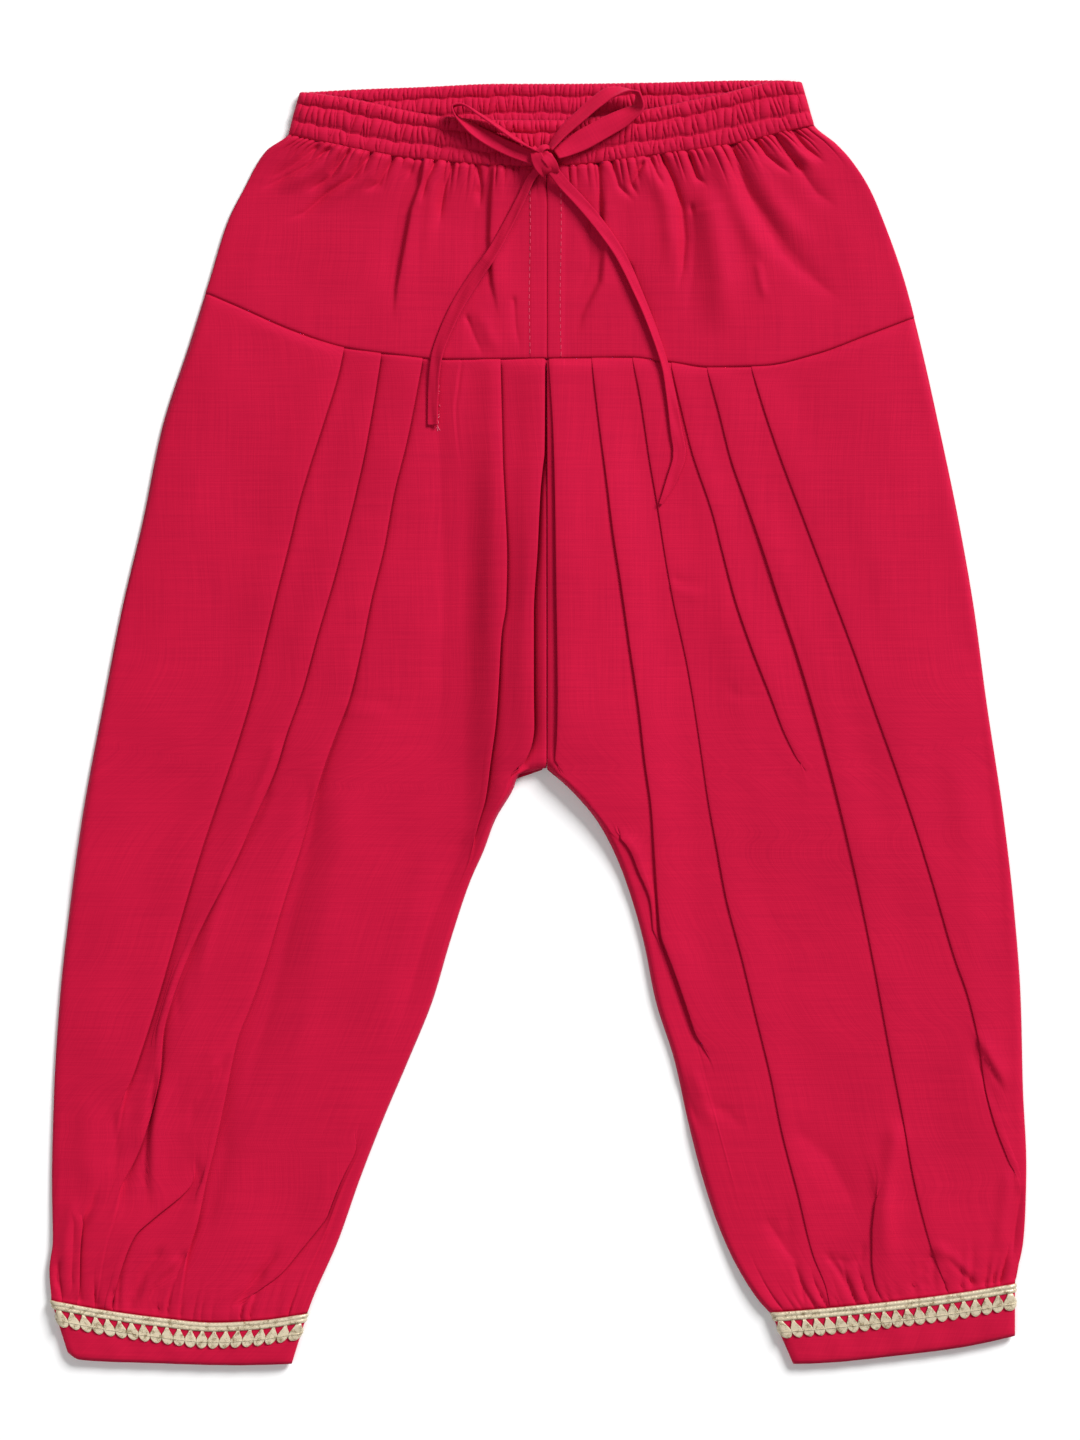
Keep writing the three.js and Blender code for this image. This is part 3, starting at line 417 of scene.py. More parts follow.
# Creases of the leg fronts
LEG_CREASES = [
    # Left leg: the broad shaded rise before the fold edges
    crease(-0.7, 9, [(-46, 150), (-44, 120), (-42, 60), (-44, 0), (-50, -40)]),
    crease(0.45, 5, [(-20, 167), (-20, 120), (-21, 80), (-22, 30), (-24, -10)]),
    crease(-0.8, 5.5, [(-103, -30), (-108, -70), (-116, -110), (-127, -150), (-136, -190)]),
    crease(0.5, 8, [(-88, -40), (-95, -90), (-108, -150), (-120, -190)]),
    crease(-0.9, 6, [(-34, -55), (-42, -75), (-50, -95), (-60, -130), (-68, -150)]),
    crease(0.4, 6, [(-50, -60), (-58, -95), (-70, -130), (-82, -160)]),
    crease(0.35, 1.6, [(-87, 6.5), (-78, 5), (-67, 3.5)]),
    crease(-0.3, 3, [(-82, 10), (-70, 9), (-60, 4)]),
    crease(0.5, 2.2, [(-118, -12), (-125, -30), (-132, -44)]),
    crease(-0.6, 2.2, [(-121, -32), (-127, -46), (-137, -60)]),
    crease(0.5, 3, [(-140, -70), (-147, -92), (-152, -112), (-150, -122)]),
    crease(-0.5, 2.0, [(-156, -100), (-163, -122), (-160, -138)]),
    # Lower left leg
    crease(-0.7, 2.4, [(-140, -154), (-148, -161), (-154.6, -171.5), (-158, -184)]),
    crease(0.5, 3, [(-145, -152), (-153, -164), (-160, -178)]),
    crease(0.9, 3.0, [(-171.5, -163), (-173.5, -177), (-175.3, -190), (-175.3, -210), (-173, -222)], 0.8),
    crease(-0.9, 1.8, [(-159, -240), (-164.4, -246.4), (-170.5, -251.1), (-175.9, -258.6), (-178, -266)]),
    crease(0.9, 2.4, [(-163, -242), (-169, -248), (-174, -253), (-180, -264)]),
    crease(-0.9, 1.8, [(-170, -238), (-177.3, -247.7), (-180.7, -255.9), (-183, -266)]),
    crease(-0.4, 3.6, [(-180, -190), (-184, -205), (-190, -222)]),
    crease(-0.35, 3.0, [(-191, -176), (-189, -192), (-191, -206)]),
    crease(0.4, 6, [(-202, -175), (-203, -195), (-198, -215)]),
    crease(-0.5, 2.6, [(-208.6, -224), (-208.5, -234), (-209, -246), (-209.5, -258)]),
    crease(-0.6, 1.6, [(-215.7, -243.5), (-216.5, -250), (-214, -257)]),
    crease(-0.5, 5, [(-140, -190), (-146, -215), (-150, -236)]),
    crease(-0.4, 3, [(-118, -236), (-125, -246), (-133, -256)]),
    crease(-0.6, 1.8, [(-124, -248), (-129, -256), (-137, -264)]),
    crease(-0.4, 2.0, [(-199, -214), (-202, -222), (-205, -231)]),
    crease(0.5, 3.0, [(-209, -218), (-212, -232), (-212.5, -250)]),
    crease(-0.8, 1.4, [(-171.5, -160), (-175, -186), (-175.5, -205), (-173.5, -222)]),
    crease(-0.7, 1.2, [(-118, -240), (-124, -246), (-132, -257), (-139, -266)]),
    # Right leg
    crease(0.4, 9, [(70, 120), (80, 60), (92, 0), (104, -60)]),
    crease(-0.35, 8, [(110, 60), (128, 0), (140, -60)]),
    crease(0.35, 10, [(150, 80), (165, 20), (180, -50)]),
    crease(-0.5, 6, [(196, 30), (202, -20), (208, -70), (210, -110)]),
    crease(0.4, 7, [(188, -20), (194, -70), (200, -120)]),
    crease(-0.4, 1.8, [(86, 14), (92, 12), (100, 17)]),
    crease(-0.5, 1.6, [(61, 64), (67, 61.5), (77, 61)]),
    crease(0.35, 2.0, [(61, 61), (69, 58), (79, 59)]),
    crease(0.3, 2.0, [(28, -75), (40, -74), (50, -70)]),
    crease(1.0, 3, [(198.8, -146), (203.5, -154), (211, -166)], 0.8),
    crease(-0.6, 3, [(196, -150), (203, -165), (208, -178)]),
    crease(-0.8, 2.4, [(217, -212), (214.5, -228), (213, -244)]),
    crease(0.5, 3, [(211, -205), (208.5, -225), (207, -242)]),
    crease(-0.6, 7, [(118, -185), (131, -196), (140, -212), (143, -230)]),
    crease(1.1, 4.4, [(161, -185), (157, -205), (156, -230), (157, -252)]),
    crease(-0.5, 1.7, [(146, -236), (145, -241), (139, -243), (129, -238)]),
    crease(-0.7, 1.6, [(130.5, -240), (135, -246), (139.5, -254), (141.5, -262)]),
    crease(-0.8, 1.8, [(116, -245), (118.5, -254), (120, -264)]),
    crease(-0.6, 4, [(104, -225), (112, -238), (120, -246)]),
    crease(-0.7, 1.5, [(177, -239), (172.5, -246), (167.5, -257)]),
    crease(-0.5, 1.6, [(178, -241), (177, -257)]),
    crease(-0.7, 1.6, [(184.5, -241), (190.5, -247), (200, -256)]),
    crease(0.5, 2.6, [(180, -236), (188, -243), (199, -251)]),
    crease(-0.8, 2.2, [(63.5, -162), (68.5, -173), (73, -184)]),
    crease(0.5, 3, [(70, -158), (75, -171), (80, -184)]),
    crease(-0.4, 3, [(74, -170), (86, -176), (94, -184)]),
    crease(-0.5, 5, [(112, -222), (113, -240)]),
]


def crease_heights(x, y, creases, crisp=0.0):
    """How far the creases lift or lower the cloth at each place. With crisp above 0 narrow troughs end in a
    sharp line."""
    lift = np.zeros_like(x)
    for line in creases:
        start, step = line.points[:-1], np.diff(line.points, axis=0)
        length = np.hypot(step[:, 0], step[:, 1])
        before = np.concatenate([[0], np.cumsum(length)])
        reach = 3.2 * line.reach
        low, high = line.points.min(0) - reach, line.points.max(0) + reach
        near = (x > low[0]) & (x < high[0]) & (y > low[1]) & (y < high[1])
        if not near.any():
            continue
        px, py = x[near], y[near]
        best = np.full(px.shape, 1e9)
        along = np.zeros(px.shape)
        aside = np.zeros(px.shape)
        for i in range(len(step)):
            dx, dy = px - start[i, 0], py - start[i, 1]
            t = np.clip((dx * step[i, 0] + dy * step[i, 1]) / length[i] ** 2, 0, 1)
            away = np.hypot(dx - t * step[i, 0], dy - t * step[i, 1])
            closer = away < best
            best = np.where(closer, away, best)
            along = np.where(closer, (before[i] + t * length[i]) / before[-1], along)
            side = (dx * step[i, 1] - dy * step[i, 0]) / length[i]
            aside = np.where(closer, side, aside)
        form = np.exp(-((best / line.reach) ** 2))
        if line.rise < 0:
            # A trough has a narrow bottom between soft shoulders
            form = mix(form, np.exp(-1.5 * (np.sqrt((best / line.reach) ** 2 + 0.01) - 0.1)), 0.75)
            if line.reach < 3:
                form = form + crisp * np.exp(-((best / 0.8) ** 2))
            # Where it starts in a seam it is deepest
            form = form + 3 * crisp * np.exp(-((best / 1.1) ** 2) - (along * before[-1] / 3.5) ** 2)
        if line.sharp:
            steep = 0.5 - 0.5 * np.tanh(aside / (1.6 - line.sharp))
            broad = np.exp(-((best / (2 * line.reach)) ** 2))
            form = steep * broad - 0.35 * (1 - steep) * form
        fade = ease((along + 0.08) / 0.12) * ease((1 - along) / 0.4)
        lift[near] += line.rise * form * fade
    return lift


SWELLS = table("along turn size", [
    (118, 0.5, 0.30), (83, 2.1, 0.26), (61, 0.1, 0.20), (47, 1.3, 0.16), (36, 2.7, 0.12), (29, 0.9, 0.09),
])


def swell(x, y):
    """The slight unevenness with which cloth lies, as a few crossed long waves."""
    lift = np.zeros_like(x)
    for i, (along, turn, size) in enumerate(zip(*SWELLS)):
        way = x * np.cos(turn) + y * np.sin(turn) * 0.6
        bend = 0.6 * np.sin((x * np.sin(turn) - y * np.cos(turn)) / (along * 0.8) + 1.7 * i)
        lift += size * np.sin(2 * np.pi * way / along + 2.3 * i + bend)
    return lift


def gather_places(count, unevenness):
    """The valleys between gathers, as fractions of the width, unevenly spaced."""
    places = np.arange(count + 1) + unevenness * rng.uniform(-0.5, 0.5, count + 1)
    places[0], places[-1] = 0, count
    return places / count


def puffs(u, places, roundness):
    """0 in each valley and up to 1 on the puff between two of them, with the number of the puff."""
    i = np.clip(np.searchsorted(places, u, side="right") - 1, 0, len(places) - 2)
    t = (u - places[i]) / (places[i + 1] - places[i])
    return np.clip(4 * t * (1 - t), 0, 1) ** roundness, i


# Meshes

def mesh_piece(name, points, faces, cut=None):
    """A new piece from points in millimetres. cut gives each point's place on the flat cloth."""
    mesh = bpy.data.meshes.new(name)
    mesh.from_pydata((np.asarray(points) * MM).tolist(), [], faces)
    mesh.polygons.foreach_set("use_smooth", [True] * len(mesh.polygons))
    if cut is not None:
        layer = mesh.uv_layers.new(name="cloth")
        corners = np.zeros(len(mesh.loops), np.int32)
        mesh.loops.foreach_get("vertex_index", corners)
        layer.data.foreach_set("uv", (np.asarray(cut)[corners] * MM).astype(np.float32).ravel())
    piece = bpy.data.objects.new(name, mesh)
    bpy.context.scene.collection.objects.link(piece)
    return piece


def grid_faces(row_count, column_count, turned=False, round_trip=False):
    """Quads of a grid whose points are numbered row by row."""
    faces = []
    last = column_count if round_trip else column_count - 1
    for r in range(row_count - 1):
        for c in range(last):
            d = (c + 1) % column_count
            here, below = r * column_count, (r + 1) * column_count
            face = (here + c, below + c, below + d, here + d)
            faces.append(face[::-1] if turned else face)
    return faces


def flat_lengths(points):
    """Each point's place on the flat cloth, in millimetres: back along its row from the last column, and
    across the rows by Y."""
    across = np.linalg.norm(np.diff(points, axis=1), axis=2)
    u = np.concatenate([np.zeros((len(points), 1)), np.cumsum(across, axis=1)], axis=1)
    return np.stack([u - u[:, -1:], points[..., 1]], axis=2)


def apply_modifier(piece, kind, **settings):
    """Adds a modifier and applies it at once."""
    select_none()
    bpy.context.view_layer.objects.active = piece
    piece.select_set(True)
    modifier = piece.modifiers.new(kind.title(), kind)
    for name, value in settings.items():
        setattr(modifier, name, value)
    bpy.ops.object.modifier_apply(modifier=modifier.name)
    piece.select_set(False)


def cloth(name, points, material, turned=False, round_trip=False, wall=CLOTH_WALL):
    """A sheet of cloth with both faces and its cut edges, from a grid of points[row, column]."""
    rows, columns = points.shape[:2]
    cut = flat_lengths(points).reshape(-1, 2)
    faces = grid_faces(rows, columns, turned, round_trip)
    piece = mesh_piece(name, points.reshape(-1, 3), faces, cut)
    apply_modifier(piece, "SOLIDIFY", thickness=wall * MM, offset=0, use_even_offset=False)
    piece.data.polygons.foreach_set("use_smooth", [True] * len(piece.data.polygons))
    piece.data.materials.append(material)
    return piece


def stands_for(piece, slot, *nodes):
    """Puts a piece in place of CAD nodes."""
    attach(piece, "root")
    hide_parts(*nodes)
    return piece


# Camera, floor and light

def make_camera():
    data = bpy.data.cameras.new("camera")
    data.lens = LENS
    data.sensor_width = SENSOR
    data.clip_end = 20
    camera = bpy.data.objects.new("camera", data)
    distance = PHOTO_HEIGHT * MM_PER_PIXEL * LENS / SENSOR
    camera.location = np.array([*VIEW_CENTRE, distance]) * MM
    bpy.context.scene.collection.objects.link(camera)
    bpy.context.scene.camera = camera


def linear(hex_colour):
    """An sRGB hex colour as the linear values that a shader takes."""
    parts = [int(hex_colour[i:i + 2], 16) / 255 for i in (1, 3, 5)]
    return tuple(p / 12.92 if p <= 0.04045 else ((p + 0.055) / 1.055) ** 2.4 for p in parts) + (1.0,)


def add_node(tree, kind, inputs=None, **settings):
    """Adds a node with its settings. An input is a value, or another node's output to link."""
    node = tree.nodes.new(kind)
    for name, value in settings.items():
        setattr(node, name, value)
    for name, value in (inputs or {}).items():
        if isinstance(value, bpy.types.NodeSocket):
            tree.links.new(value, node.inputs[name])
        else:
            node.inputs[name].default_value = value
    return node


def new_material(name):
    material = bpy.data.materials.new(name)
    material.use_nodes = True
    tree = material.node_tree
    tree.nodes.clear()
    return material, tree


def finish_material(tree, **inputs):
    """Ends a material in one shader with the given inputs."""
    shader = add_node(tree, "ShaderNodeBsdfPrincipled", {k.replace("_", " "): v for k, v in inputs.items()})
    output = add_node(tree, "ShaderNodeOutputMaterial")
    tree.links.new(shader.outputs["BSDF"], output.inputs["Surface"])


def seamless_paper():
    # Matt white backdrop paper: a plain, even, almost white floor
    material, tree = new_material("matt_backdrop_paper")
    finish_material(tree, Base_Color=linear("#FDFDFD"), Roughness=0.9)
    return material


def make_floor():
    select_none()
    bpy.ops.mesh.primitive_grid_add(x_subdivisions=8, y_subdivisions=8, size=8, location=(0, 0, -0.0002))
    floor = bpy.context.object
    floor.name = "floor"
    floor.data.materials.append(seamless_paper())


def make_light(name, place, size, watts):
    """A square white lamp that shines on the middle of the garment."""
    data = bpy.data.lights.new(name, "AREA")
    data.size = size
    data.energy = watts
    light = bpy.data.objects.new(name, data)
    light.location = place
    light.rotation_mode = "QUATERNION"
    light.rotation_quaternion = Vector(-np.array(place)).to_track_quat("-Z", "Y")
    bpy.context.scene.collection.objects.link(light)


def make_studio():
    make_floor()
    make_light("key_light", place=(5.0, 5.5, 4.9), size=3.4, watts=1085)
    make_light("top_light", place=(-1.1, -0.8, 2.6), size=2.0, watts=23)
    world = bpy.data.worlds.new("studio")
    world.use_nodes = True
    background = world.node_tree.nodes["Background"]
    background.inputs["Color"].default_value = linear("#FFFFFF")
    background.inputs["Strength"].default_value = 0.2
    bpy.context.scene.world = world
    bpy.context.scene.view_settings.view_transform = "Standard"


# Materials

def crimson_cotton():
    # Plain woven, piece-dyed cotton: matt crimson with a faint cool bloom where light falls on it, a fine
    # even weave and thicker threads here and there. Real threads lie 0.3 mm apart, and are drawn 0.9 mm
    # apart so that they show.
    material, tree = new_material("crimson_cotton_plain_weave")
    place = add_node(tree, "ShaderNodeTexCoord").outputs["UV"]

    def threads(direction):
        return add_node(tree, "ShaderNodeTexWave", {
            "Vector": place, "Scale": 349, "Distortion": 1.6, "Detail": 1.0, "Detail Scale": 0.4,
        }, wave_type="BANDS", bands_direction=direction).outputs["Fac"]

    def slubs(scale):
        # Thicker threads: streaks 0.8 mm wide and about 40 mm long
        stretched = add_node(tree, "ShaderNodeMapping", {"Vector": place, "Scale": scale}).outputs["Vector"]
        return add_node(tree, "ShaderNodeTexNoise", {
            "Vector": stretched, "Scale": 1.0, "Detail": 3.0, "Roughness": 0.65,
        }).outputs["Fac"]

    weave = add_node(tree, "ShaderNodeMath", {
        0: threads("X"), 1: threads("Y"),
    }, operation="ADD").outputs[0]
    slub = add_node(tree, "ShaderNodeMath", {
        0: slubs((1250, 26, 1)), 1: slubs((26, 1250, 1)),
    }, operation="ADD").outputs[0]
    cloud = add_node(tree, "ShaderNodeTexNoise", {
        "Vector": place, "Scale": 24, "Detail": 3.0, "Roughness": 0.5,
    }).outputs["Fac"]
    # The dye takes unevenly: most on slubs, less in clouds 40 mm wide and least from thread to thread
    tone = 0.08
    for pattern, share in ((slub, 0.48), (cloud, 0.22), (weave, 0.02)):
        tone = add_node(tree, "ShaderNodeMath", {
            0: pattern, 1: share, 2: tone,
        }, operation="MULTIPLY_ADD").outputs[0]
    dye = add_node(tree, "ShaderNodeValToRGB", {"Fac": tone})
    ramp = dye.color_ramp
    ramp.elements[0].position = 0.55
    ramp.elements[0].color = linear("#B60D25")
    ramp.elements[1].position = 0.87
    ramp.elements[1].color = linear("#C7132C")
    height = add_node(tree, "ShaderNodeMath", {
        0: slub, 1: 7.0, 2: weave,
    }, operation="MULTIPLY_ADD").outputs[0]
    bump = add_node(tree, "ShaderNodeBump", {"Height": height, "Strength": 0.08, "Distance": 0.00012})
    finish_material(
        tree, Base_Color=dye.outputs["Color"], Roughness=0.82, Normal=bump.outputs["Normal"],
        Sheen_Weight=0.06, Sheen_Roughness=0.5, Sheen_Tint=linear("#E070C0"),
        IOR=1.53, Specular_IOR_Level=0.52, Specular_Tint=linear("#4A68F0"),
    )
    return material


def gold_thread():
    # Metallised yarn, woven into lace: pale gold, and its metallic finish glints where a thread turns to the
    # light. The pale specks in its colour are painted glints.
    material, tree = new_material("pale_gold_metallised_yarn")
    place = add_node(tree, "ShaderNodeTexCoord").outputs["Object"]
    yarn = add_node(tree, "ShaderNodeTexNoise", {"Vector": place, "Scale": 2600, "Detail": 2.0})
    patch = add_node(tree, "ShaderNodeTexNoise", {"Vector": place, "Scale": 420, "Detail": 1.0})
    tone = add_node(tree, "ShaderNodeMath", {
        0: yarn.outputs["Fac"], 1: patch.outputs["Fac"],
    }, operation="ADD").outputs[0]
    # Colour ramp over fine yarn noise and broader patches: the gold's tone differs at random, and its palest
    # specks are painted glints
    shade = add_node(tree, "ShaderNodeValToRGB", {"Fac": tone})
    shade.color_ramp.elements[0].position = 0.72
    shade.color_ramp.elements[0].color = linear("#8C7856")
    shade.color_ramp.elements[1].position = 1.0
    shade.color_ramp.elements[1].color = linear("#D8CAAD")
    bump = add_node(tree, "ShaderNodeBump", {
        "Height": yarn.outputs["Fac"], "Strength": 0.5, "Distance": 0.0002,
    })
    finish_material(
        tree, Base_Color=shade.outputs["Color"], Metallic=0.35, Roughness=0.42,
        Normal=bump.outputs["Normal"],
    )
    return material


make_camera()
make_studio()
COTTON = crimson_cotton()
GOLD = gold_thread()


# Leg fronts

def seam_height(side, seam, u):
    """y of a cross seam at the fraction u of the way from a side's outer edge to its inner one."""
    y = np.full(np.shape(u), float(seam(0)))
    for _ in range(8):
        y = seam(side.sign * mix(side.outer(y), side.inner(y), u))
    return y


def panel_rows(side, top, bottom):
    """Two functions of a panel between cross seams: y at the fractions u across and v down it, and y on the
    row v at the place s."""
    parts = np.linspace(0, 1, 201)
    upper, lower = seam_height(side, top, parts), seam_height(side, bottom, parts)

    def height(u, v):
        return mix(np.interp(u, parts, upper), np.interp(u, parts, lower), v)

    def row(v, s):
        y = height(0.5, v)
        for _ in range(8):
            width = side.inner(y) - side.outer(y)
            y = height(np.clip((s - side.outer(y)) / width, 0, 1), v)
        return y

    return height, row


def rounded(distance, reach):
    """0 at an edge and 1 from reach inwards, as the quarter of a circle."""
    t = np.clip(distance / reach, 0, 1)
    return np.sqrt(1 - (1 - t) ** 2)


def keep_above(z, low):
    """Bends z off so that it stays above low, softly."""
    softness = 0.3
    return low + softness * np.log1p(np.exp(np.clip((z - low) / softness, -30, 30)))


# Section of a knife pleat: turns of the cloth at the fold edge and at the back of the pleat. Its columns
# number 20, and the lower layer starts at the middle of the turn at the back.
TURN = np.radians([90, 45, 0, -45, -90])
SECTION_COLUMNS = 20
LOWER_LAYER = 10


def folded_section(depth, rise, left, right):
    """Places s and heights z of a closed pleat, from the layer on top to the one that goes on below it."""
    turn = rise / 4
    back = depth - turn
    s = [-left, -(left + turn) / 2, *(-turn + turn * np.cos(a) for a in TURN)]
    z = [rise, rise, *(3 * turn + turn * np.sin(a) for a in TURN)]
    s += [-depth / 2, *(-back - turn * np.cos(a) for a in TURN), -depth / 2]
    z += [2 * turn, *(turn + turn * np.sin(a) for a in TURN), 0.0]
    for part in (0.0, 0.16, 0.34, 0.55, 0.77, 1.0):
        s.append(part * right)
        z.append(0.0)
    return np.stack(np.broadcast_arrays(*s)), np.stack(np.broadcast_arrays(*z))


def open_section(rise, left, right):
    """The same columns where the pleat has opened out into a soft ridge."""
    part = np.linspace(0, 1, SECTION_COLUMNS)[:, None]
    s = mix(-left, right, part)
    reach = np.where(s < 0, 0.5 * left, 0.45 * right)
    return s, rise * np.exp(-((s / reach) ** 2))


def leg_sections(side, folds, height, row, v):
    """Places s of all columns on every row, with their height over the rest height."""
    inner_s = side.inner(height(1, v))
    outer_s = side.outer(height(0, v))
    places, depths, rises, dips = [], [], [], []
    for i, fold in enumerate(folds):
        along, depth, rise = curve(fold.y, fold.x), curve(fold.y, fold.depth), curve(fold.y, fold.rise)
        y = height(0.5, v)
        for _ in range(6):
            s = side.sign * along(y)
            y = row(v, s)
        places.append(s)
        depths.append(depth(y))
        rises.append(rise(y) * side.fold_rise)
        dips.append(side.dips.get(i, np.zeros_like)(y))
    # Folds keep clear of the inner edge and of one another
    limit = inner_s - 0.9
    for i in reversed(range(len(folds))):
        places[i] = np.minimum(places[i], limit)
        limit = places[i] - 2.2
    edges = [outer_s, *places, inner_s]
    all_s, all_z, ramps, starts = [], [], [], []
    before_s = outer_s
    for i in range(len(folds) + 1):
        last = i == len(folds)
        if last:
            after_s = inner_s
        else:
            room_left, room_right = edges[i + 1] - edges[i], edges[i + 2] - edges[i + 1]
            depth = np.minimum(depths[i], 0.62 * room_left)
            closed = ease(depth / 2.2)
            left = np.minimum(mix(7.0, 3.0, closed), 0.45 * room_left)
            right = np.minimum(mix(5.0, 4.0, closed), 0.45 * room_right)
            after_s = places[i] - left
        count = max(1, int(np.ceil((after_s - before_s).max() / COLUMN_STEP)))
        for k in range(0 if i == 0 else 1, count + (1 if last else 0)):
            all_s.append(mix(before_s, after_s, k / count))
            all_z.append(np.zeros_like(before_s))
        if not last:
            starts.append(len(all_s))
            ramps.append((room_left, depth, rises[i] * closed))
            closed_s, closed_z = folded_section(depth, rises[i], left, right)
            ridge_s, ridge_z = open_section(rises[i], left, right)
            all_s.extend(places[i] + mix(ridge_s, closed_s, closed))
            all_z.extend(mix(ridge_z, closed_z, closed))
            before_s = places[i] + right
    s, z = np.array(all_s).T, np.array(all_z).T
    lower_starts = [start + LOWER_LAYER for start in starts]
    # The cloth climbs gently towards each fold edge. Where the fold before it is flat, it climbs over that
    # fold too.
    for i, (room, depth, rise) in enumerate(ramps):
        flat_before = 1 - ease(rises[i - 1] / 0.4) if i else np.zeros_like(room)
        reach = mix(np.minimum(20, 0.9 * room), 20.0, flat_before)[:, None]
        climb = (s - places[i][:, None] + reach) / np.maximum(reach - 0.4 * depth[:, None], 1.5)
        ramp = rise[:, None] * ease(climb) ** 1.2
        low = lower_starts[i - 1] if i else 0
        z[:, low:starts[i]] += ramp[:, low:starts[i]]
        z[:, :low] += flat_before[:, None] * ramp[:, :low]
    # A hollow beyond each fold edge, where the cloth comes out from under it
    for i, place in enumerate(places):
        beyond = np.clip(s - place[:, None], 0, None)[:, lower_starts[i]:]
        strength = side.hollow * np.minimum(rises[i] / side.fold_rise / 1.4, 1.2)[:, None]
        z[:, lower_starts[i]:] -= strength * (0.7 * np.exp(-beyond / 1.0) + 0.35 * np.exp(-beyond / 5))
        z[:, lower_starts[i]:] -= dips[i][:, None] * np.exp(-beyond / 8)
    # The centre seam lies in a recess between the two innermost folds
    first = lower_starts[-1]
    part = np.clip((s[:, first:] - places[-1][:, None]) / (inner_s - places[-1])[:, None], 0, 1)
    depth = np.clip(rises[-1] / side.fold_rise / 1.8, 0, 1)[:, None]
    depth = depth * mix(1, 0.2, ease((height(1, v) - 112) / 45))[:, None]
    z[:, first:] -= depth * (0.8 + (1.4 if side.sign > 0 else 0.1) * (1 - part))
    return s, z, outer_s[:, None], inner_s[:, None]


def centre_bank(x, y):
    """The thick middle, where pleats and seams lie on each other, stands over the panels beside it."""
    across = np.where(x < CENTRE_SEAM_X, ease((x + 34) / 20), 1 - 0.95 * ease((x - 12) / 66))
    return BANK_HEIGHT * across * ease((155 - y) / 95) * ease((y + 85) / 55)


def hem_gathers(u, v, places, starts, strengths):
    """Valleys between the gathers above the cuff, each gather with its own length and depth."""
    form, i = puffs(u, places, 0.7)
    start = starts[i]
    return strengths[i] * (form - 0.75) * ease((v - start) / (1 - start))


def leg_front(side, folds, material):
    height, row = panel_rows(side, yoke_seam, lambda x: side.cuff_top(x) + CUFF_LIP)
    v = np.linspace(0, 1, LEG_ROWS)
    v = mix(v, ease(v), 0.45)
    s, fold_z, outer_s, inner_s = leg_sections(side, folds, height, row, v)
    v = v[:, None]
    y = row(v, s)
    x = side.sign * s
    spread = ease((v - HEM_START) / (1 - HEM_START))
    u = (s - outer_s) / (inner_s - outer_s)
    places = gather_places(HEM_GATHERS, 0.85)
    starts = rng.uniform(0.925, 0.978, HEM_GATHERS)
    strengths = 0.4 + 2.6 * rng.uniform(0, 1, HEM_GATHERS) ** 2
    lean = 0.012 * np.sin(9 * u + 1) + 0.008 * np.sin(23 * u)
    puckers = hem_gathers(np.clip(u + lean * (1 - v) / 0.06, 0, 1), v, places, starts, strengths)
    z = mix(FRONT_REST, HEM_REST, spread)
    z = z + fold_z * (1 - 0.4 * spread) + 0.9 * swell(x, y)
    z = z + (1.4 + 0.3 * ease((-150 - y) / 50)) * crease_heights(x, y, LEG_CREASES)
    z = z + centre_bank(x, y) + puckers - thin_edge(side, x, y)
    z = keep_above(z, LOWEST_FRONT)
    # The seam under the yoke draws the cloth down, and so does the cuff
    below_seam = yoke_seam(x) - y
    z = z - 0.45 * np.maximum(fold_z, 0) * (1 - ease(below_seam / 14))
    sewn = yoke_height(side, x, y, 1.0) - 0.25 + 0.25 * np.clip(fold_z, -0.5, 1.5)
    z = mix(z, sewn, np.exp(-((below_seam / 2.6) ** 2))) - 0.25 * np.exp(-((below_seam / 0.7) ** 2))
    z = mix(z, HEM_SEAM_REST, np.exp(-(((1 - v) * LEG_LENGTH) / 1.1) ** 2))
    # The edges roll down to the back
    low_edge = mix(EDGE_REST, HEM_EDGE_REST, spread)
    z = low_edge + (z - low_edge) * rounded(s - side.outer(y), EDGE_ROLL)
    below = ease((CROTCH_Y - y) / 6)
    to_inner = side.inner(y) - s
    near_crotch = (x > CROTCH_ENDS[0]) & (x < CROTCH_ENDS[1])
    over_crotch = np.where(near_crotch, y - crotch(x), EDGE_ROLL)
    roll = mix(1, rounded(to_inner, EDGE_ROLL - 1), below)
    z = low_edge + (z - low_edge) * np.minimum(roll, rounded(over_crotch, EDGE_ROLL - 1))
    # The centre seam lies a little lower
    z = z - (1 - below) * 0.5 * np.exp(-(to_inner / 1.0) ** 2)
    points = np.stack([x, y, z], axis=2)
    return cloth(f"leg_front_{side.name}_pleats", points, material, side.sign < 0, wall=PLEAT_WALL)


# Yoke and backs

def thin_edge(side, x, y):
    """How much lower the cloth lies towards its outer edge, where only two layers meet."""
    return 1 - ease((side.sign * x - side.outer(y)) / 24)


def yoke_height(side, x, y, v):
    """Height of the yoke front's middle surface."""
    z = mix(YOKE_MIDDLE_REST, YOKE_WAIST_REST, ease(1 - v / 0.34))
    z = mix(z, YOKE_SEAM_REST, ease((v - 0.68) / 0.3))
    z = z + 0.9 * swell(x + 40, y) + 1.8 * crease_heights(x, y, YOKE_CREASES, 0.35)
    z = keep_above(z - thin_edge(side, x, y), LOWEST_YOKE)
    # Seam allowances turned to both sides of the centre seam
    middle = np.abs(x - CENTRE_SEAM_X)
    z = z + 0.3 * ease((8.2 - middle) / 1.4) - 0.35 * np.exp(-((middle / 0.6) ** 2))
    return z


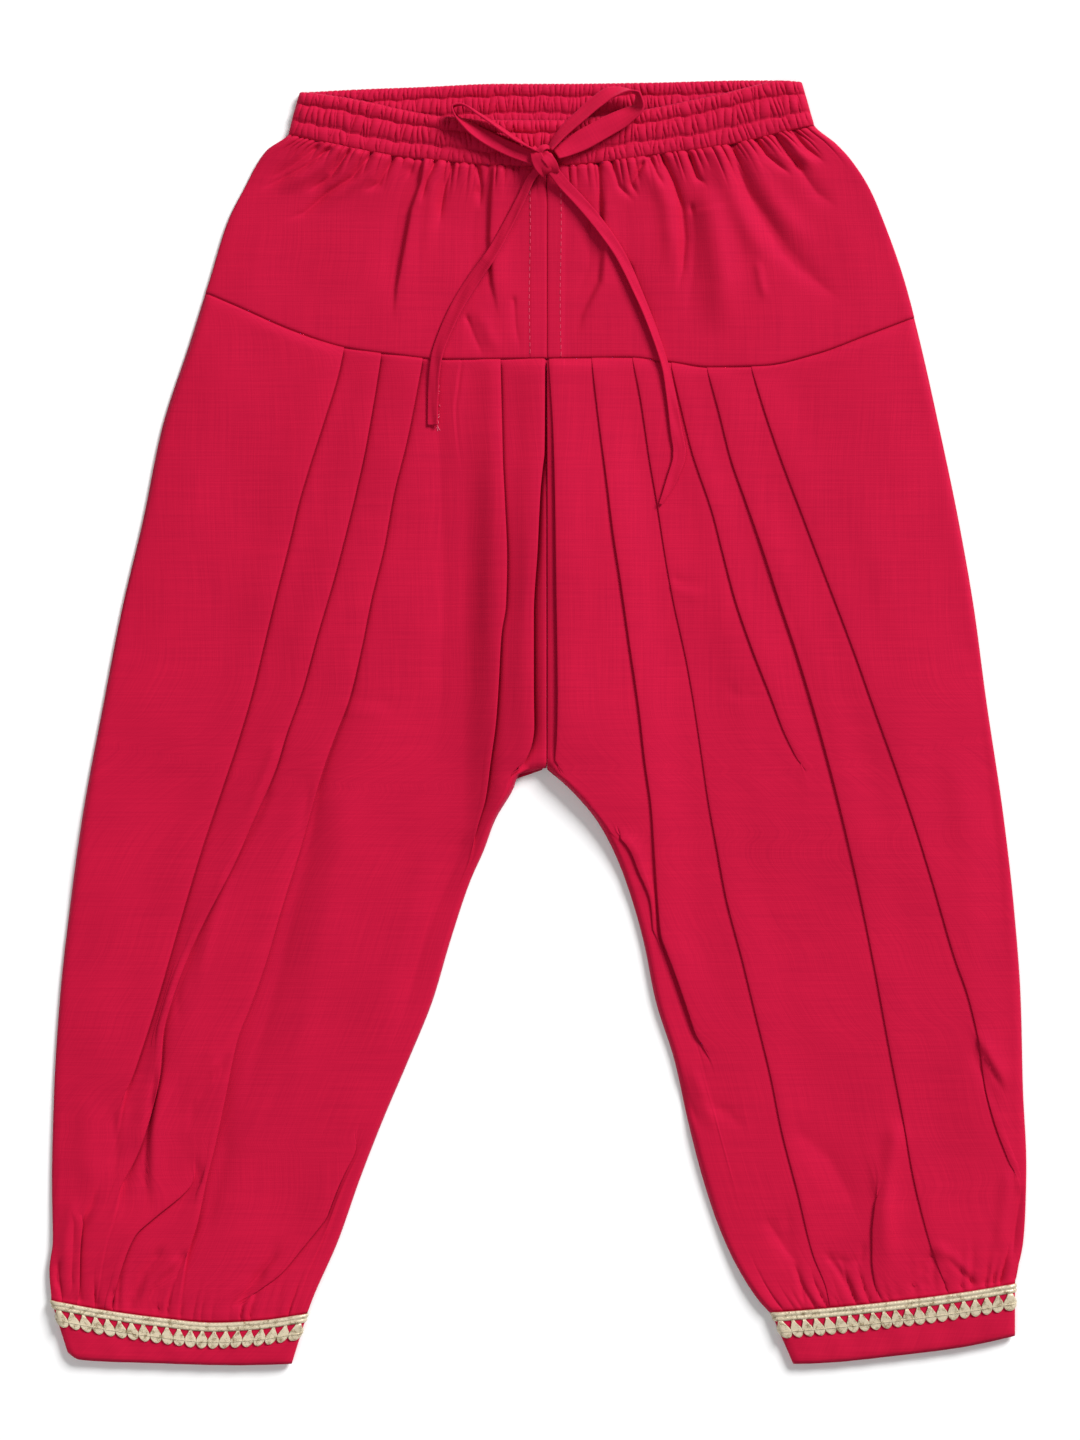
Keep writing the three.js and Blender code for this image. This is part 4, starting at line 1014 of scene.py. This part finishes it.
def yoke_front(side, material):
    height, _ = panel_rows(side, waist_seam, yoke_seam)
    places = gather_places(YOKE_GATHERS, 0.8)
    lengths = rng.uniform(0.05, 0.24, YOKE_GATHERS)
    strengths = rng.uniform(0.5, 1.3, YOKE_GATHERS)
    u, v = np.meshgrid(np.linspace(0, 1, 270), np.linspace(0, 1, 94) ** 1.15)
    y = height(u, v)
    s = mix(side.outer(y), side.inner(y), u)
    x = side.sign * s
    form, i = puffs(u, places, 0.42)
    gather = strengths[i] * (form - 0.7) * ease(1 - v / lengths[i]) ** 1.1
    z = yoke_height(side, x, y, v) + 2.2 * gather
    z = z - 1.1 * np.exp(-((waist_seam(x) - y) / 1.2) ** 2)
    z = z - 0.45 * np.exp(-((y - yoke_seam(x)) / 0.6) ** 2)
    z = EDGE_REST + (z - EDGE_REST) * rounded(s - side.outer(y), EDGE_ROLL)
    return cloth(f"yoke_front_{side.name}_cotton", np.stack([x, y, z], axis=2), material, side.sign < 0)


def back_panel(name, x, y, z, material, turned):
    """A back panel that lies on the table: its creases lift it, and nothing goes below it."""
    points = np.stack([x, y, np.maximum(z, BACK_REST)], axis=2)
    return cloth(name, points, material, turned)


def leg_back(side, material):
    height, _ = panel_rows(side, yoke_seam, lambda x: side.cuff_top(x) + CUFF_LIP)
    u, v = np.meshgrid(np.linspace(0, 1, 80), np.linspace(0, 1, 110))
    y = height(u, v)
    s = mix(side.outer(y), side.inner(y), u)
    x = side.sign * s
    places = gather_places(BACK_HEM_GATHERS, 0.75)
    starts = rng.uniform(0.93, 0.965, BACK_HEM_GATHERS)
    z = BACK_REST + 0.3 * np.maximum(crease_heights(-x, y, LEG_CREASES), 0)
    puckers = 0.6 * hem_gathers(u, v, places, starts, np.full(BACK_HEM_GATHERS, 1.2))
    z = z + BACK_LIFT + puckers - BACK_LIFT * (1 - ease((v - 0.93) / 0.07))
    outer_lift = 0.3 * (1 - ease((s - side.outer(y)) / EDGE_ROLL))
    inner_lift = 0.3 * (1 - ease((side.inner(y) - s) / EDGE_ROLL)) * (y < -25)
    z = z + (outer_lift + inner_lift)
    return back_panel(f"leg_back_{side.name}_cotton", x, y, z, material, side.sign < 0)


def yoke_back(material):
    u, v = np.meshgrid(np.linspace(0, 1, 170), np.linspace(0, 1, 50))
    y = np.full(u.shape, 200.0)
    for _ in range(8):
        x = mix(left_side(y), right_side(y), u)
        y = mix(back_band_top(x) - BAND_HEIGHT, yoke_seam(x), v)
    places = gather_places(2 * YOKE_GATHERS, 0.8)
    lengths = rng.uniform(0.08, 0.3, 2 * YOKE_GATHERS)
    form, i = puffs(u, places, 0.7)
    ridges = 0.3 * np.maximum(crease_heights(-x, y, YOKE_CREASES), 0)
    z = BACK_REST + 0.9 * form * ease(1 - v / lengths[i]) + ridges
    z = z + 0.3 * (1 - ease(np.minimum(x - left_side(y), right_side(y) - x) / EDGE_ROLL))
    return back_panel("yoke_back_cotton", x, y, z, material, False)


# Waistband

def ruched_band(name, top, bottom, rest, edge_rest, gathers, swelling, material):
    """Rows of ruching between stitch lines. top gives y at the place x on the upper edge, and bottom gives
    it at places on the lower and the upper edge."""
    row_steps = 11
    u = np.linspace(0, 1, BAND_COLUMNS)
    shared = gather_places(gathers, 0.7)
    shared_form, _ = puffs(u, shared, 0.5)
    rows_v, rows_z = [], []
    for k in range(len(BAND_ROWS) - 1):
        # Most gathers run on from row to row, a little shifted
        places = np.sort(np.clip(shared + rng.normal(0, 0.22 / gathers, gathers + 1), 0, 1))
        places[0], places[-1] = 0, 1
        places = places + np.arange(gathers + 1) * 1e-9
        slant = rng.uniform(-0.9, 0.9, gathers) / gathers
        strength = rng.uniform(0.3, 0.9, gathers)
        for w in np.linspace(0, 1, row_steps)[(0 if k == 0 else 1):]:
            i = np.clip(np.searchsorted(places, u, side="right") - 1, 0, gathers - 1)
            form, i = puffs(u + slant[i] * (w - 0.5), places, 0.42)
            arch = 0.2 + 0.8 * np.sin(np.pi * w) ** 0.6
            rows_v.append(mix(BAND_ROWS[k], BAND_ROWS[k + 1], w))
            rows_z.append(swelling * BAND_SWELLS[k] * arch * (1 - strength[i] * (1 - form)))
    v = np.array(rows_v)[:, None]
    z = np.array(rows_z)
    top_x, bottom_x = mix(*BAND_TOP_ENDS, u), mix(*BAND_BOTTOM_ENDS, u)
    x = mix(top_x, bottom_x, v)
    y = mix(top(top_x), bottom(bottom_x, top_x), v)
    ripple = np.sin(31 * u) + np.sin(77 * u + 1) + 0.8 * np.sin(143 * u + 2) + 0.8 * np.sin(211 * u)
    y = y + 0.3 * ripple * np.sin(np.pi * v) + 0.35 * (shared_form - 0.6) * (1 - 2 * np.clip(v, 0, 0.5))
    inwards = np.minimum(x - x[:, :1], x[:, -1:] - x)
    side = rounded(inwards, 8)
    z = mix(edge_rest, rest, side) + z * mix(0.35, 1, side)
    return cloth(name, np.stack([x, y, z], axis=2), material)


def front_band(material):
    return ruched_band(
        "waistband_front_ruching", band_top, lambda low_x, high_x: waist_seam(low_x) - 0.2,
        BAND_REST, BAND_SIDE_REST, FRONT_BAND_GATHERS, 2.3, material,
    )


def back_band(material):
    return ruched_band(
        "waistband_back_ruching", back_band_top, lambda low_x, high_x: back_band_top(high_x) - BAND_HEIGHT,
        BACK_BAND_REST, BACK_BAND_SIDE_REST, BACK_BAND_GATHERS, 1.9, material,
    )


# Cuffs and lace

def ring_places(count):
    """Places round a cuff as (across, over): from -1 to 1 across, and 1 on the front, -1 on the back."""
    end = CUFF_CORNER / CUFF_HALF_WIDTH
    turn = np.radians(np.linspace(-90, 90, 13))
    front = np.linspace(-1 + end, 1 - end, count)
    right = [(1 - end + end * np.cos(a), -np.sin(a)) for a in turn[1:-1]]
    left = [(-1 + end - end * np.cos(a), np.sin(a)) for a in turn[1:-1]]
    return np.array([*((a, 1.0) for a in front), *right, *((a, -1.0) for a in front[::-1]), *left])


def cuff_point(side, places, down, grow=0.0):
    """Points on the cuff at the distance down from its top, pushed out by grow."""
    across = (places[..., 0] + 1) / 2
    top_x = mix(*side.cuff_top_ends, across)
    bottom_x = mix(*side.cuff_bottom_ends, across)
    top_y = side.cuff_top(top_x) + CUFF_LIP
    v = down / (top_y - side.cuff_bottom(bottom_x))
    middle = (CUFF_FRONT_REST + CUFF_BACK_REST) / 2
    half = (CUFF_FRONT_REST - CUFF_BACK_REST) / 2
    x = mix(top_x, bottom_x, v) + grow * np.sign(places[..., 0]) * (np.abs(places[..., 1]) < 0.98)
    over = np.maximum(middle + places[..., 1] * (half + grow), 0.4)
    return np.stack([x, top_y - down, over], axis=-1)


def cuff_length(side, places):
    across = (places[..., 0] + 1) / 2
    top = side.cuff_top(mix(*side.cuff_top_ends, across)) + CUFF_LIP
    return top - side.cuff_bottom(mix(*side.cuff_bottom_ends, across))


def cuff(side, material):
    places = ring_places(70)
    v = np.linspace(0, 1, 14)[:, None]
    down = v * cuff_length(side, places)
    points = cuff_point(side, np.broadcast_to(places, (len(v), *places.shape)), down)
    across = places[:, 0]
    slack = 0.22 * np.sin(across * 9 + 1) * np.sin(np.pi * v) + 0.15 * np.sin(across * 23 + 2 * v)
    points[..., 2] += np.where(places[:, 1] > 0.5, slack, 0) * ease((down - 11) / 4)
    # The lower edge is folded under
    points[..., 2] = mix(points[..., 2], 2.3, 0.35 * np.exp(-(((1 - v) * CUFF_HEIGHT) / 1.0) ** 2))
    return cloth(f"cuff_{side.name}_cotton", points, material, round_trip=True, wall=CUFF_WALL)


def lace(side, material):
    pieces = []
    # Two woven ribs along the top
    places = ring_places(200)
    profile = table("down lift", [
        (-0.5, 0.42), (-0.2, 0.85), (0.45, 1.0), (1.1, 0.85), (1.5, 0.6), (1.95, 0.85), (2.5, 1.0),
        (3.1, 0.85), (3.4, 0.42),
    ])
    rows = []
    for down, lift in zip(*profile):
        twist = 0.07 * np.sin(np.arange(len(places)) * 1.9 + down)
        rows.append(cuff_point(side, places, np.full(len(places), CUFF_LIP + down), lift + twist))
    pieces.append(cloth("ribs", np.array(rows), material, round_trip=True, wall=LACE_WALL))
    # Drops: pointed at the top, round below, with a raised rim
    outline = table("down wide", [
        (3.2, 0.6), (4.2, 0.95), (5.3, 1.6), (6.4, 2.35), (7.3, 2.68), (8.4, 2.7), (9.3, 2.45), (10.0, 1.95),
        (10.6, 1.25), (10.9, 0.7), (11.0, 0.2),
    ])
    points, faces = [], []
    rims = table("across lift", [
        (-1, 0.82), (-0.88, 0.9), (-0.5, 0.74), (0, 0.8), (0.5, 0.74), (0.88, 0.9), (1, 0.82),
    ])
    pitch = 2.0 / LACE_DROPS
    for over in (1.0, -1.0):
        for k in range(LACE_DROPS):
            middle = -1 + (k + 0.5) * pitch
            first = len(points)
            for down, wide in zip(*outline):
                for across, lift in zip(*rims):
                    aside = np.clip(middle + across * wide / 5.4 * pitch, -1, 1)
                    from_side = min(1.0, (1 - abs(aside)) / 0.07)
                    bulge = over * np.sqrt(1 - (1 - from_side) ** 2)
                    thread = 0.12 * np.exp(-(((down - 8.0) / 0.35) ** 2))
                    place = np.array([[aside, bulge]])
                    grow = 0.45 + lift * (0.8 if 3.3 < down < 10.8 else 0.5) - thread
                    points.append(cuff_point(side, place, np.array([CUFF_LIP + down]), grow)[0])
            width = len(rims.across)
            for face in grid_faces(len(outline.down), width, turned=over < 0):
                faces.append(tuple(first + i for i in face))
    drops = mesh_piece("drops", np.array(points), faces)
    apply_modifier(drops, "SOLIDIFY", thickness=LACE_WALL * MM, offset=-1)
    drops.data.materials.append(material)
    pieces.append(drops)
    # A thread couched across the drops
    places = ring_places(120)
    rows = [cuff_point(side, places, np.full(len(places), CUFF_LIP + down), 1.12) for down in (7.9, 8.3)]
    pieces.append(cloth("couched_thread", np.array(rows), material, round_trip=True, wall=0.2))
    return join(f"lace_{side.name}_braid", pieces)


def join(name, pieces):
    select_none()
    for piece in pieces:
        piece.select_set(True)
    bpy.context.view_layer.objects.active = pieces[0]
    bpy.ops.object.join()
    joined = bpy.context.object
    joined.name = name
    select_none()
    return joined


# Drawstring

def along_route(route, count):
    """Evenly spaced points of a smooth line through a route, with how far along each one is."""
    start = np.concatenate([[0], np.cumsum(np.linalg.norm(np.diff(route, axis=0), axis=1))])
    lines = [curve(start, route[:, k]) for k in range(3)]
    fine = np.stack([line(np.linspace(0, start[-1], 40 * len(route))) for line in lines], axis=1)
    run = np.concatenate([[0], np.cumsum(np.linalg.norm(np.diff(fine, axis=0), axis=1))])
    even = np.linspace(0, run[-1], count)
    points = np.stack([np.interp(even, run, fine[:, k]) for k in range(3)], axis=1)
    return points, even / run[-1], run[-1]


def ribbon(name, route, shape, material, step=0.7):
    """A flat tape along a route. shape is a table of along, wide and tilt: how wide the tape is there, and
    how far it stands on its edge, in degrees."""
    _, _, length = along_route(route, 50)
    count = int(length / step)
    middle, part, _ = along_route(route, count)
    wide = curve(shape.along, shape.wide)(part)
    tilt = np.radians(curve(shape.along, shape.tilt)(part))
    way = np.gradient(middle, axis=0)
    way /= np.linalg.norm(way, axis=1)[:, None]
    flat = np.stack([way[:, 1], -way[:, 0], np.zeros_like(part)], axis=1)
    flat /= np.linalg.norm(flat, axis=1)[:, None]
    up = np.cross(flat, way)
    across = flat * np.cos(tilt)[:, None] + up * np.sin(tilt)[:, None]
    out = np.cross(across, way)
    # Section of the tape, with its two folded edges
    ring = table("across out", [
        (1, 0.25), (0.97, 0.85), (0.82, 1.0), (0.5, 0.7), (0.15, 0.5), (-0.2, 0.62), (-0.55, 0.55),
        (-0.85, 1.0), (-0.98, 0.8), (-1, 0.2), (-1, -0.4), (-0.92, -0.9), (-0.6, -0.7), (-0.2, -0.6),
        (0.2, -0.7), (0.6, -0.6), (0.92, -0.95), (1, -0.4),
    ])
    run = (part * length)[:, None]
    crumple = 0.18 * np.sin(run / 4.2 + 3 * ring.across) + 0.12 * np.sin(run / 2.3)
    side = ring.across[None, :, None] * across[:, None] * (wide / 2)[:, None, None]
    lift = ring.out * TAPE_THICKNESS / 2 + crumple * (1 - ring.across ** 2) * 0.8
    points = middle[:, None] + side + lift[..., None] * out[:, None]
    rings, around = points.shape[:2]
    faces = grid_faces(rings, around, round_trip=True)
    faces += [tuple(range(around))[::-1], tuple((rings - 1) * around + i for i in range(around))]
    cut = np.stack(np.broadcast_arrays(ring.across[None, :] * TAPE_WIDTH / 2, run), axis=2)
    piece = mesh_piece(name, points.reshape(-1, 3), faces, cut.reshape(-1, 2))
    fix_normals(piece)
    piece.data.materials.append(material)
    return piece, middle, length


def fix_normals(piece):
    """Turns all faces of a closed piece outwards."""
    select_none()
    bpy.context.view_layer.objects.active = piece
    piece.select_set(True)
    bpy.ops.object.mode_set(mode="EDIT")
    bpy.ops.mesh.select_all(action="SELECT")
    bpy.ops.mesh.normals_make_consistent(inside=False)
    bpy.ops.object.mode_set(mode="OBJECT")
    piece.select_set(False)


SHAPE = "along wide tilt"
# The tails are given by their height over the cloth
LEFT_TAIL = np.array([
    (0.0, 247.4, 4.0), (-3.2, 243.6, 2.6), (-7.2, 235.6, 1.7), (-12.9, 224.5, 1.5), (-20.6, 210.5, 1.7),
    (-28.4, 199.5, 1.7), (-35.6, 188, 1.6), (-42, 174.5, 1.5), (-45.6, 163.5, 1.3), (-46.9, 152, 1.1),
    (-47.4, 132, 1.0),
])
RIGHT_TAIL = np.array([
    (6.4, 247.6, 4.0), (10.5, 242.5, 2.4), (16, 236.8, 1.2), (25.5, 226, 0.8), (37.3, 209, 1.0),
    (45.3, 192, 1.3), (52.5, 174, 1.3), (57.5, 158, 0.9), (60, 145, 0.8), (62, 131, 0.7),
    (63.5, 121, 0.7), (60, 109, 0.8), (54, 96, 0.8),
])
# The loops are given by their height over the table
LEFT_LOOP = np.array([
    (-1.4, 252.6, 9.4), (-12, 256.6, 8.6), (-22, 261.5, 8.4), (-31, 267, 8.8), (-37, 272, 9.4),
    (-38.5, 275.5, 9.6), (-35, 276.8, 9.6), (-26, 272, 9.6), (-17, 266, 9.6), (-9, 260.5, 9.6),
    (-0.8, 255.6, 9.6),
])
RIGHT_LOOP = np.array([
    (5.2, 256.6, 9.6), (11.5, 264.5, 9.6), (19, 271.5, 9.6), (26.5, 278, 9.6), (33, 282, 9.6),
    (39.5, 283, 9.6), (44.8, 281.2, 9.6), (45.2, 276, 9.4), (39.5, 271.6, 9.0), (31, 267, 8.6),
    (22, 262, 8.6), (14, 257.6, 8.8), (8.2, 254.2, 9.4),
])


def height_over(pieces):
    """A function that gives how high the highest of the pieces is at a place, in millimetres."""
    trees = [BVHTree.FromPolygons(
        [v.co[:] for v in piece.data.vertices], [tuple(face.vertices) for face in piece.data.polygons],
    ) for piece in pieces]

    def height(x, y):
        hits = [tree.ray_cast(Vector((x * MM, y * MM, 0.1)), Vector((0, 0, -1)))[0] for tree in trees]
        return max([hit.z / MM for hit in hits if hit is not None], default=0.0)

    return height


def laid(route, height):
    """A route over the cloth, with its height over the table. The tape bridges small hollows."""
    points, _, _ = along_route(route, 90)
    under = np.array([max(height(x + aside, y) for aside in (-2.4, 0, 2.4)) for x, y, _ in points])
    for _ in range(80):
        wide = np.pad(under, 1, mode="edge")
        under = np.maximum(under, 0.25 * wide[:-2] + 0.5 * under + 0.25 * wide[2:])
    points[:, 2] += under
    return points[::2]


def drawstring(name, node, route, shape, material):
    piece, middle, length = ribbon(name, route, shape, material)
    stands_for(piece, "crimson_cotton", node)


def knot(material):
    """The knot: one turn of tape drawn over the others, with a small horn where it turns back."""
    select_none()
    bpy.ops.mesh.primitive_uv_sphere_add(segments=32, ring_count=20, radius=1, location=(0, 0, 0))
    core = bpy.context.object
    core.name = "drawstring_knot_turns"
    bpy.ops.object.mode_set(mode="EDIT")
    bpy.ops.transform.resize(value=[size * MM for size in KNOT_SIZE])
    bpy.ops.transform.translate(value=[place * MM for place in KNOT_CENTRE])
    bpy.ops.object.mode_set(mode="OBJECT")
    core.data.polygons.foreach_set("use_smooth", [True] * len(core.data.polygons))
    core.data.materials.append(material)
    turns = [
        (np.array([(-0.4, 257.2, 8.2), (-1.0, 255.2, 10.8), (-0.4, 252.4, 12.2), (1.0, 249.6, 12.2),
                   (3.1, 246.8, 10.7), (4.0, 245.6, 8.6)]),
         table(SHAPE, [(0, 3.4, 20), (0.35, 5.4, -12), (0.7, 6.4, -8), (1, 5.2, 0)])),
        (np.array([(1.5, 253.8, 11.0), (3.3, 252.8, 12.5), (5.4, 250.8, 12.2), (6.8, 248.2, 10.7),
                   (7.1, 246.2, 9.0)]),
         table(SHAPE, [(0, 3.4, 10), (0.4, 5.0, 8), (1, 4.8, 0)])),
        (np.array([(0.2, 254.6, 11.8), (1.8, 256.6, 12.2), (3.8, 257.4, 11.4), (4.9, 257.0, 10.0)]),
         table(SHAPE, [(0, 3.2, 0), (0.5, 2.8, 25), (1, 1.6, 30)])),
    ]
    pieces = [core]
    for k, (route, shape) in enumerate(turns):
        pieces.append(ribbon(f"turn_{k}", route, shape, material, step=0.5)[0])
    return stands_for(join("drawstring_knot_turns", pieces), "crimson_cotton", "drawstring_knot")


# Thread

def thread_material(name, shade):
    # Spun yarn, loosely twisted: satin, and a little paler than the cloth, because it is dyed less deeply
    material, tree = new_material(name)
    finish_material(tree, Base_Color=linear(shade), Roughness=0.6)
    return material


def short_thread(name, middles, ways, length, width, material):
    """Short pieces of thread at the given middles, each lying along its way."""
    select_none()
    bpy.ops.mesh.primitive_cylinder_add(vertices=6, radius=0.5, depth=1, location=(0, 0, 0))
    one = bpy.context.object
    bpy.ops.object.mode_set(mode="EDIT")
    bpy.ops.mesh.select_all(action="SELECT")
    bpy.ops.mesh.bevel(offset=0.16, segments=1, affect="EDGES")
    bpy.ops.object.mode_set(mode="OBJECT")
    form = np.array([v.co[:] for v in one.data.vertices])
    form_faces = [tuple(face.vertices) for face in one.data.polygons]
    bpy.data.objects.remove(one, do_unlink=True)
    points, faces = [], []
    for middle, way, long in zip(middles, ways, np.broadcast_to(length, len(middles))):
        first = len(points)
        way = way / np.linalg.norm(way)
        flat = np.cross(way, (0, 0, 1.0))
        flat /= np.linalg.norm(flat)
        up = np.cross(flat, way)
        for x, y, z in form:
            points.append(middle + flat * x * width + up * y * width * 0.7 + way * z * long)
        faces += [tuple(first + i for i in face) for face in form_faces]
    piece = mesh_piece(name, np.array(points), faces)
    fix_normals(piece)
    piece.data.materials.append(material)
    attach(piece, "root")


def top_stitches(material):
    """Two rows of stitches beside the centre seam of the yoke."""
    middles, ways = [], []
    for x, first, last in ((-3.7, 241, 165.5), (10.2, 243, 165)):
        side = LEFT if x < CENTRE_SEAM_X else RIGHT
        y = np.arange(first, last, -STITCH_PITCH)
        place = x + 0.25 * np.sin(y / 11)
        v = (waist_seam(place) - y) / (waist_seam(place) - yoke_seam(place))
        z = yoke_height(side, place, y, v) + CLOTH_WALL / 2 + 0.06
        middles += list(np.stack([place, y, z], axis=1))
        ways += [np.array([0.05, 1.0, 0.0])] * len(y)
    short_thread("yoke_top_stitches", middles, ways, STITCH_LENGTH, 0.34, material)


def frayed_edge(height, material):
    """Loose ends of thread along the last part of the left tail's cut edge."""
    count = FRAYED_THREADS
    y = rng.uniform(131, 156, count)
    x = -45.0 + rng.normal(0, 0.3, count)
    z = [height(x[k], y[k]) + rng.uniform(0.1, 0.4) for k in range(count)]
    ways = [
        np.array([rng.uniform(-1, 0.6), rng.uniform(-1, 0.4), rng.uniform(-0.1, 0.1)])
        for _ in range(count)
    ]
    middles = list(np.stack([x, y, z], axis=1))
    lengths = rng.uniform(0.8, 1.8, count)
    short_thread("drawstring_frayed_threads", middles, ways, lengths, 0.24, material)


# The pieces, each in place of its CAD node

upper_cloth = []
for side, folds in ((LEFT, LEFT_FOLDS), (RIGHT, RIGHT_FOLDS)):
    front = stands_for(leg_front(side, folds, COTTON), "crimson_cotton", f"leg_front_{side.name}")
    back = stands_for(leg_back(side, COTTON), "crimson_cotton", f"leg_back_{side.name}")
    yoke = stands_for(yoke_front(side, COTTON), "crimson_cotton", f"yoke_front_{side.name}")
    leg_band = stands_for(cuff(side, COTTON), "crimson_cotton", f"cuff_{side.name}")
    braid = stands_for(lace(side, GOLD), "gold_lace", f"lace_{side.name}")
    upper_cloth += [front, yoke]
back_yoke = stands_for(yoke_back(COTTON), "crimson_cotton", "yoke_back")
band = stands_for(front_band(COTTON), "crimson_cotton", "waistband_front")
inside_band = stands_for(back_band(COTTON), "crimson_cotton", "waistband_back")
over_cloth = height_over(upper_cloth)

knot(COTTON)
top_stitches(thread_material("spun_polyester_sewing_thread", "#D03A5C"))
drawstring(
    "drawstring_tail_left_tape", "drawstring_tail_left", laid(LEFT_TAIL, over_cloth),
    table(SHAPE, [(0, 3.2, 0), (0.08, 4.0, -20), (0.25, 5.0, -26), (0.5, 6.4, -24), (0.8, 5.2, -18),
                  (1, 4.8, -14)]),
    COTTON,
)
frayed_edge(over_cloth, thread_material("loose_cotton_yarn", "#E46C88"))
drawstring(
    "drawstring_tail_right_tape", "drawstring_tail_right", laid(RIGHT_TAIL, over_cloth),
    table(SHAPE, [(0, 5.0, 0), (0.15, 5.4, 8), (0.3, 5.0, 16), (0.45, 4.2, 30), (0.6, 4.0, 34),
                  (0.72, 4.8, 12), (0.85, 5.8, 0), (0.93, 4.6, 0), (1, 1.4, 0)]),
    COTTON,
)
drawstring(
    "drawstring_loop_left_tape", "drawstring_loop_left", LEFT_LOOP,
    table(SHAPE, [(0, 6.6, -4), (0.2, 6.8, -10), (0.34, 6.4, -34), (0.46, 6.0, -80), (0.62, 6.4, -100),
                  (0.85, 6.4, -108), (1, 6.4, -90)]),
    COTTON,
)
drawstring(
    "drawstring_loop_right_tape", "drawstring_loop_right", RIGHT_LOOP,
    table(SHAPE, [(0, 5, 60), (0.15, 6.4, 34), (0.35, 7.0, 30), (0.47, 6.6, 80), (0.56, 7.2, 130),
                  (0.7, 9.2, 168), (0.85, 9.6, 172), (0.95, 7.5, 165), (1, 5.5, 150)]),
    COTTON,
)
